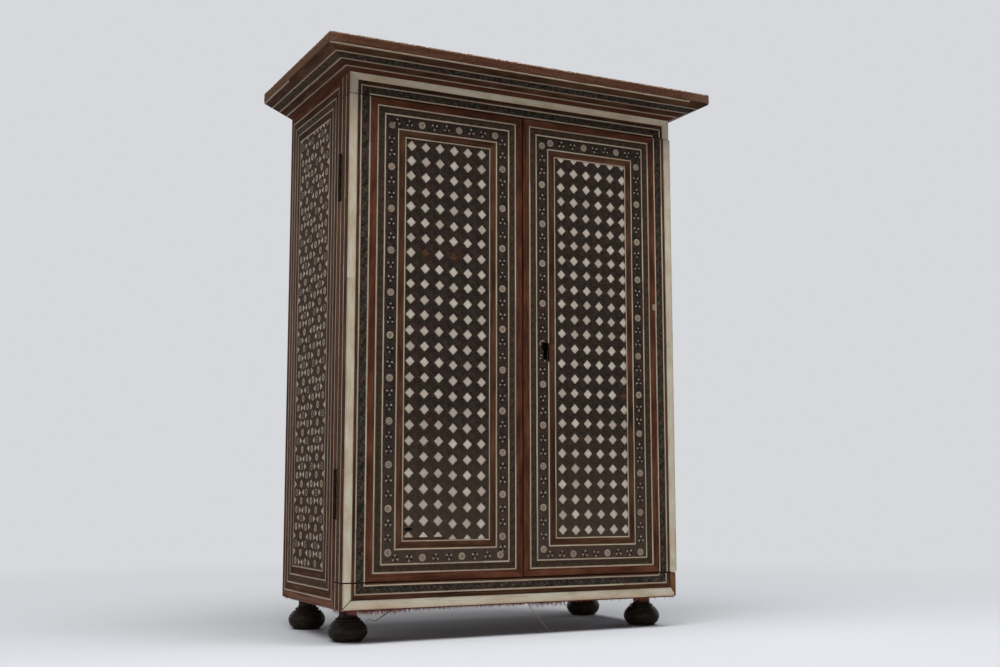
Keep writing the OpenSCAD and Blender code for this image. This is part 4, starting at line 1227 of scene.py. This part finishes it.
def moulding_wood():
    """Red wood on the slope, rough bare wood with pale flecks on the fascia, and a painted highlight in
    flecks along its top edge.
    """
    g = Finish("cornice_wood")
    grain = g.grain()
    x, y, z = g.split(g.place())
    streak = g.streaks(grain, (0.03, 0.7, 0.5), 4, 0.62)
    fibre = g.streaks(grain, (0.25, 3.0, 3.0), 4, 0.65)
    flecks = g.streaks(grain, (0.5, 1.4, 1.0), 5, 0.75)
    value = g.sum(streak, 0.5, g.times(fibre, 0.5))
    polished = g.ramp(value, (0.3, 0.5, 0.72), red)
    bare = g.ramp(value, (0.28, 0.5, 0.7), tones((44, 27, 20), (70, 44, 33), (96, 64, 49)))
    # the two ends of the front are the coarsest
    coarse = g.math("MAXIMUM", g.span(x, 126, 142), g.span(x, -140, -151))
    bare = g.glaze(bare, coarse, 0.35, rgb(104, 82, 68))
    pale = g.sum(coarse, 0.4, g.span(x, -60, 60, 0.4, 0.6))
    bare = g.glaze(bare, g.span(flecks, 0.54, 0.70), pale, rgb(124, 104, 88))
    bare = g.glaze(bare, g.span(flecks, 0.42, 0.32), 0.8, rgb(34, 22, 16))
    # a painted highlight along the top edge of the fascia, broken by the flecks
    at_front = g.span(y, cornice_front + 1.8, cornice_front + 1.0)
    at_side = g.span(g.math("ABSOLUTE", x), cornice_reach - 1.6, cornice_reach - 0.8, 0, 0.5)
    at_top = g.span(z, cornice_top - 1.3, cornice_top - 0.7)
    rim = g.times(g.times(g.math("MAXIMUM", at_front, at_side), at_top), g.span(flecks, 0.46, 0.56))
    bare = g.glaze(bare, rim, 0.95, rgb(192, 176, 160))
    fascia = g.span(z, top_z + slope_h - 0.5, top_z + slope_h + 0.5)
    rough = g.span(fascia, 0, 1, 0.42, 0.8)
    return g.done(g.mix(fascia, polished, bare), rough, g.sum(flecks, fascia, fibre), 0.25, 0.8)


def slope_ends(run, mark):
    """Where a line at a distance up the slope starts and ends."""
    if run == "front":
        return (-half_w - mark * slope_out, half_w + mark * slope_out)
    return (front_y - mark * slope_out, side_back)


cornice_wood = moulding_wood()
for run, plane in (("front", FRONT), ("left", LEFT_SIDE), ("right", RIGHT_SIDE)):
    cornice_run(run, plane.out, cornice_wood)

cornice = Face("cornice", "carcass", [
    ("lines", (*slope_cut, line_proud), "lines", shade_painted_line, "bone", "stringing"),
    ("brown", slope_cut, "brown_strips", brown_wood, "brown_wood", "bands"),
    ("mosaic", slope_cut, "mosaic_strips", band_mosaic, "mosaic"),
    ("side_mosaic", slope_cut, "side_mosaic_strips", side_mosaic, "mosaic"),
])
for run, plane in SLOPES.items():
    mosaic = cornice.mosaic if run == "front" else cornice.side_mosaic
    for inlay, start, end in zip((cornice.brown, mosaic, cornice.brown), slope_marks, slope_marks[1:]):
        (a, b), (c, d) = slope_ends(run, start), slope_ends(run, end)
        inlay.add(plane, [(a, start), (b, start), (d, end), (c, end)])
    for mark in slope_marks:
        a, b = slope_ends(run, mark)
        if mark == slope_marks[-1]:
            a = front_y + left_loss if run == "left" else a
            b = b - front_loss if run == "front" else b
        box = (a, 0, b, slope_len - 0.08)
        stringing(cornice.lines, plane, (a, mark), (b, mark), every=70, wobble=0.14, box=box)
cornice.build()


# Feet

foot_r = 13.4
bulb_r = 6.8
shoulder_r = 6.4
base_r = 8.0
neck_r = 6.2
dowel_r = 3.95
foot_ring_r = 0.8
foot_rings = [(10.4, 12.4), (8.8, 14.2)]
foot_grooves = (4.0, 9.2, 10.8)
groove_half = 0.45
foot_sides = 96
feet = {
    node: (low(node) + high(node)) / 2
    for node in ("front_left_foot", "front_right_foot", "back_left_foot", "back_right_foot")
}


def foot_radius(z):
    """Radius of a turned foot at a height: bulb fullest low down, two small rings and a hollow neck."""
    radius = neck_r
    if z <= bulb_r:
        radius = max(base_r, foot_r - bulb_r + math.sqrt(max(0.0, bulb_r ** 2 - (z - bulb_r) ** 2)))
    elif z <= foot_rings[0][1]:
        radius = foot_r - shoulder_r + math.sqrt(shoulder_r ** 2 - (z - bulb_r) ** 2)
    for reach, level in foot_rings:
        if z <= level + foot_ring_r:
            radius = max(radius, reach - foot_ring_r)
        if abs(z - level) < foot_ring_r:
            radius = max(radius, reach - foot_ring_r + math.sqrt(foot_ring_r ** 2 - (z - level) ** 2))
    reach, level = foot_rings[1]
    flare = reach - neck_r
    neck_low = level + foot_ring_r
    if neck_low < z < neck_low + flare:
        hollow = reach - math.sqrt(flare ** 2 - (z - neck_low - flare) ** 2)
        radius = max(radius, min(hollow, reach - foot_ring_r))
    for level in foot_grooves:
        if abs(z - level) < groove_half:
            radius -= 0.3 * math.cos((z - level) / groove_half * math.pi / 2)
    return radius


def foot_profile():
    """Radius and height from the floor up, with fine turning marks, then the dowel."""
    heights = [0.0]
    z = 0.18
    while z < base_z:
        heights.append(z)
        z += 0.22
    profile = [(0.96 * base_r, 0.0)]
    for z in heights:
        groove = 0.035 * math.sin(z * 9.1) + 0.02 * math.sin(z * 23.7 + 1)
        profile.append((foot_radius(z) + (groove - 0.055 if z > 0.3 else -0.1), z))
    dowel_top = high("front_left_foot").z
    profile += [(neck_r, base_z), (dowel_r, base_z + 0.05)]
    profile += [(dowel_r, dowel_top - 0.4), (dowel_r - 0.4, dowel_top)]
    return profile


def turned_foot(node, middle):
    """A closed turned piece, a little dented."""
    profile = foot_profile()

    def axis(z):
        return Vector((middle.x, middle.y, z))

    points = [axis(profile[0][1]) * MM]
    for radius, z in profile:
        for i in range(foot_sides):
            angle = math.tau * i / foot_sides
            way = Vector((math.cos(angle), math.sin(angle), 0))
            dent = 0.25 * noise.noise(axis(0) + way * radius / 4 + Vector((0, 0, z / 3)))
            points.append((axis(z) + way * (radius - abs(dent))) * MM)
    last = len(points)
    points.append(axis(profile[-1][1]) * MM)
    top = last - foot_sides
    faces = []
    for i in range(foot_sides):
        j = (i + 1) % foot_sides
        faces.append((0, 1 + j, 1 + i))
        for a in range(1, top, foot_sides):
            b = a + foot_sides
            faces.append((a + i, a + j, b + j, b + i))
        faces.append((last, top + i, top + j))
    piece = new_piece(f"turned_{node}", points, faces, black_wood, "carcass", "ebonised_wood", node)
    for face in piece.data.polygons:
        face.use_smooth = True


for node, middle in feet.items():
    turned_foot(node, middle)


# Baize under the base, frayed at its edges

baize_low = low("base_baize")
baize_high = high("base_baize")
front_fibres = 1060
side_fibres = 60
foot_fibres = 170
neck_gap = 0.45


def baize():
    """The cloth as one thin sheet with a wandering edge and a hole for each foot's neck."""
    mesh = bmesh.new()
    outline = []
    corners = rectangle(*baize_low.xy, *baize_high.xy)
    for (x0, y0), (x1, y1) in zip(corners, corners[1:] + corners[:1]):
        steps = round(math.hypot(x1 - x0, y1 - y0) / 2.5)
        for i in range(steps):
            x, y = x0 + (x1 - x0) * i / steps, y0 + (y1 - y0) * i / steps
            pull = 0.35 * (1 + noise.noise((x / 4, y / 4, 2.0)))
            inward = Vector((-x, 11 - y, 0)).normalized()
            outline.append(Vector((x, y, baize_low.z)) + inward * pull)
    loops = [outline]
    hole = disc(0, 0, neck_r + neck_gap, 32)
    for foot in feet.values():
        loops.append([Vector((foot.x + u, foot.y + v, baize_low.z)) for u, v in hole])
    edges = []
    for loop in loops:
        verts = [mesh.verts.new(p * MM) for p in loop]
        edges += [mesh.edges.new((a, b)) for a, b in zip(verts, verts[1:] + verts[:1])]
    bmesh.ops.triangle_fill(mesh, use_beauty=True, use_dissolve=False, edges=edges)
    thick = (baize_high.z - baize_low.z) * MM
    grown = bmesh.ops.extrude_face_region(mesh, geom=mesh.faces[:])
    moved = [v for v in grown["geom"] if isinstance(v, bmesh.types.BMVert)]
    bmesh.ops.translate(mesh, verts=moved, vec=(0, 0, thick))
    bmesh.ops.recalc_face_normals(mesh, faces=mesh.faces)
    mesh.verts.index_update()
    points = [vert.co.copy() for vert in mesh.verts]
    faces = [[vert.index for vert in face.verts] for face in mesh.faces]
    mesh.free()
    return new_piece("baize_sheet", points, faces, baize_red, "carcass", "red_baize", "base_baize")


class Threads:
    """Thin three-sided threads, tapered at their ends, as one mesh."""

    def __init__(self):
        self.points, self.faces = [], []

    def add(self, route, thick):
        start = len(self.points)
        last = len(route) - 1
        for i, spot in enumerate(route):
            radius = thick * (1 - 0.6 * i / last)
            ahead = (route[min(i + 1, last)] - route[max(i - 1, 0)]).normalized()
            across = Vector((0, 0, 1)) if abs(ahead.z) < 0.9 else Vector((1, 0, 0))
            one = ahead.cross(across).normalized()
            other = ahead.cross(one)
            for k in range(3):
                angle = math.tau * k / 3
                out = math.cos(angle) * one + math.sin(angle) * other
                self.points.append((spot + radius * out) * MM)
        end = start + 3 * last
        for a in range(start, end, 3):
            for k in range(3):
                m = (k + 1) % 3
                self.faces.append((a + k, a + 3 + k, a + 3 + m, a + m))
        self.faces.append((start, start + 1, start + 2))
        self.faces.append((end + 2, end + 1, end))

    def build(self, name, material):
        return new_piece(name, self.points, self.faces, material, "carcass", "red_baize")


def curved(start, way, length, bend, steps=4):
    """A route that sets off one way and bends towards another."""
    route = [start]
    for _ in range(steps):
        way = (way + bend / steps).normalized()
        route.append(route[-1] + way * length / steps)
    return route


def wavy(route):
    return [
        p + Vector((0.35 * math.sin(i * 0.9), 0.25 * math.cos(i * 0.7), 0.3 * math.sin(i * 0.6)))
        for i, p in enumerate(route)
    ]


def fringe():
    """Short fibres along the frayed edges, thicker in two places at the front and round one foot."""
    threads = Threads()
    z = baize_low.z + 0.25
    for _ in range(front_fibres):
        # share of the fibres in each stretch: by the left foot, past the middle, between them, all over
        spot = rng.random()
        if spot < 0.34:
            x = rng.triangular(-129, -76, -116)
        elif spot < 0.52:
            x = rng.uniform(6, 36)
        elif spot < 0.86:
            x = rng.uniform(-116, 4)
        else:
            x = rng.uniform(baize_low.x + 2, baize_high.x - 2)
        longest = 2.4 if spot >= 0.52 else 4.0
        start = Vector((x, baize_low.y + 0.6, z))
        way = Vector((jitter(0.5), -0.7, rng.uniform(-1.3, -0.2)))
        bend = Vector((jitter(0.8), 0.3, rng.uniform(-1.2, -0.2)))
        threads.add(curved(start, way, rng.uniform(0.8, longest), bend), rng.uniform(0.11, 0.2))
    for _ in range(side_fibres):
        start = Vector((baize_low.x + 0.6, rng.uniform(baize_low.y + 3, baize_high.y - 4), z))
        way = Vector((-0.7, jitter(0.5), rng.uniform(-1.2, -0.2)))
        bend = Vector((0.3, jitter(0.8), rng.uniform(-1.2, -0.2)))
        threads.add(curved(start, way, rng.uniform(0.6, 1.8), bend), rng.uniform(0.08, 0.13))
    foot = feet["front_left_foot"]
    for _ in range(foot_fibres):
        angle = rng.uniform(0, math.tau)
        out = Vector((math.cos(angle), math.sin(angle), 0))
        start = Vector((foot.x, foot.y, z)) + out * (neck_r + rng.uniform(1.0, 3.5))
        way = out * rng.uniform(-0.2, 0.6) + Vector((0, 0, -1))
        bend = Vector((jitter(0.8), jitter(0.8), -0.5))
        threads.add(curved(start, way, rng.uniform(1.5, 4.0), bend), rng.uniform(0.10, 0.18))
    return threads.build("baize_fringe", fringe_red)


def red_threads():
    """A long thread that hangs to the floor and two loose ends by the foot at the front right corner."""
    threads = Threads()
    y, z = baize_low.y + 0.7, baize_low.z + 0.2
    long_one = curved(Vector((6.0, y, z)), Vector((0.58, -0.3, -0.78)), 24.0, Vector((0.35, 0.1, -0.4)), 26)
    threads.add(wavy(long_one), 0.27)
    for x, reach in ((98.0, 12.0), (95.0, 9.0)):
        way, bend = Vector((-0.9, -0.4, -0.1)), Vector((-0.1, 0.1, -0.9))
        threads.add(curved(Vector((x, y, z)), way, reach, bend, 14), 0.17)
    return threads.build("baize_threads", thread_red)


def dark_thread():
    """A stiff dark thread with a kinked end, from the front edge near the left foot."""
    threads = Threads()
    kinks = (
        (-95.0, baize_low.z + 0.2), (-99.2, 19.3), (-103.4, 17.2), (-107.1, 15.1),
        (-109.2, 15.5), (-111.1, 16.7), (-112.5, 15.5), (-113.2, 14.8),
    )
    threads.add([Vector((x, baize_low.y - 0.4, z)) for x, z in kinks], 0.4)
    return threads.build("baize_dark_thread", thread_dark)


sheet = baize()
fringe_piece = fringe()
thread_pieces = [red_threads(), dark_thread()]


# Solids of the frame that stay

def dress(material, *nodes, bevel=0.0):
    for node in nodes:
        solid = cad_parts[node]
        solid.data.materials.clear()
        solid.data.materials.append(material)
        if bevel:
            rounding = solid.modifiers.new("soft_edges", "BEVEL")
            rounding.width = bevel * MM
            rounding.segments = 2
            rounding.limit_method = "ANGLE"


inside_upright = wood("inside_wood_upright", core, 0.6, "z", 0.6)
inside_level = wood("inside_wood_level", core, 0.6, "x", 0.6)
door_wood = wood("door_board_wood", red, 0.5, "z", 0.8, hole=(keyhole_x, keyhole_z - 3))
rail_wood = wood("rail_wood", red, 0.5, "x", 0.8)
panel_wood = wood("top_panel_wood", raw, 0.6, "x", 0.7)
leaves = [
    f"{hand}_{level}_{part}_leaf"
    for level in ("upper", "lower") for hand in ("left", "right") for part in ("frame", "door")
]
dress(inside_upright, "left_side_board", "right_side_board", "back_panel")
dress(inside_level, "top_board", "bottom_board", "upper_shelf", "lower_shelf", "cornice_back")
dress(door_wood, "left_door_board", "right_door_board")
dress(rail_wood, "frieze_rail", "plinth_rail")
dress(panel_wood, "top_panel")
dress(iron, *leaves, bevel=0.12)
dress(iron, "hinge_pins", "frame_leaf_screws", "left_door_screws", "right_door_screws", "lock_spring")
dress(brass, "strike_plate", "bolt_guides", "upper_bolt", "lower_bolt", bevel=0.12)
dress(brass, "lock_case", "lock_cap", "lock_bolt", bevel=0.12)


# Studio: pale floor, soft light, and the photograph's viewpoint

backdrop_grey = rgb(214, 216, 220)


def light_path(g):
    """One for camera, mirror and glass rays, nought for the light that falls on the object."""
    path = g.tree.nodes.new("ShaderNodeLightPath").outputs
    seen = g.math("MAXIMUM", path["Is Camera Ray"], path["Is Glossy Ray"])
    return g.math("MAXIMUM", seen, path["Is Transmission Ray"])


def studio_floor():
    """A round floor that fades into the backdrop far from the object."""
    mesh = bmesh.new()
    bmesh.ops.create_circle(mesh, cap_ends=True, radius=30, segments=96)
    data = bpy.data.meshes.new("floor")
    mesh.to_mesh(data)
    mesh.free()
    floor = bpy.data.objects.new("floor", data)
    bpy.context.scene.collection.objects.link(floor)
    g = Finish("floor_paper", rough=0.8, specular=0.1)
    place = g.node("TexCoord", {}, 3)
    g.set("Base Color", g.mix(g.noise(place, 140, 3, 0.6), rgb(180, 182, 186), rgb(186, 188, 192)))
    away = g.node("VectorMath", {0: place}, 1, operation="LENGTH")
    far = g.node("MapRange", {0: away, 1: 0.2, 2: 0.95}, interpolation_type="SMOOTHSTEP")
    glow = g.node("Emission", {"Color": backdrop_grey, "Strength": 1.0})
    blend = g.node("MixShader", {0: g.times(far, light_path(g)), 1: g.shader.outputs[0], 2: glow})
    g.feed(g.tree.nodes["Material Output"].inputs[0], blend)
    data.materials.append(g.material)


def studio_world(level):
    """The backdrop is seen in full, but lights the object with a lower level only."""
    world = bpy.data.worlds.new("studio")
    bpy.context.scene.world = world
    world.use_nodes = True
    g = Graph(world.node_tree)
    background = g.tree.nodes["Background"]
    g.feed(background.inputs["Color"], backdrop_grey)
    g.feed(background.inputs["Strength"], g.span(light_path(g), 0, 1, level, 1))


def soft_lamp(name, place, aim, width, height, power):
    lamp = bpy.data.lights.new(name, "AREA")
    lamp.shape = "RECTANGLE"
    lamp.size = width
    lamp.size_y = height
    lamp.energy = power
    set_out(name, lamp, place, Vector(aim) - Vector(place))


def set_out(name, data, place, way):
    """A lamp or camera at a place, looking one way."""
    thing = bpy.data.objects.new(name, data)
    thing.location = place
    thing.rotation_euler = way.to_track_quat("-Z", "Y").to_euler()
    bpy.context.scene.collection.objects.link(thing)
    return thing


studio_floor()
studio_world(0.15)
middle = (0, 0, 0.19)
soft_lamp("overhead", (-0.05, -0.36, 1.3), middle, 1.7, 0.8, 33)
soft_lamp("low_front", (-0.5, -1.8, 0.12), (0, 0, 0.12), 1.6, 0.3, 8)
soft_lamp("left_window", (-1.7, 0.08, 0.45), middle, 0.8, 1.0, 8)
soft_lamp("right_window", (1.7, 0.45, 0.5), middle, 0.6, 0.9, 5)
soft_lamp("back_window", (0.2, 1.8, 0.5), middle, 1.0, 0.8, 5)

# solved from the corners of the body in the photograph
camera = bpy.data.cameras.new("view")
camera.lens = 45.365
camera.sensor_width = 36
viewer = set_out("view", camera, (-0.41407, -0.83928, 0.10086), Vector((0.4487, 0.8853, 0.1222)))
bpy.context.scene.camera = viewer
bpy.context.scene.view_settings.view_transform = "Standard"
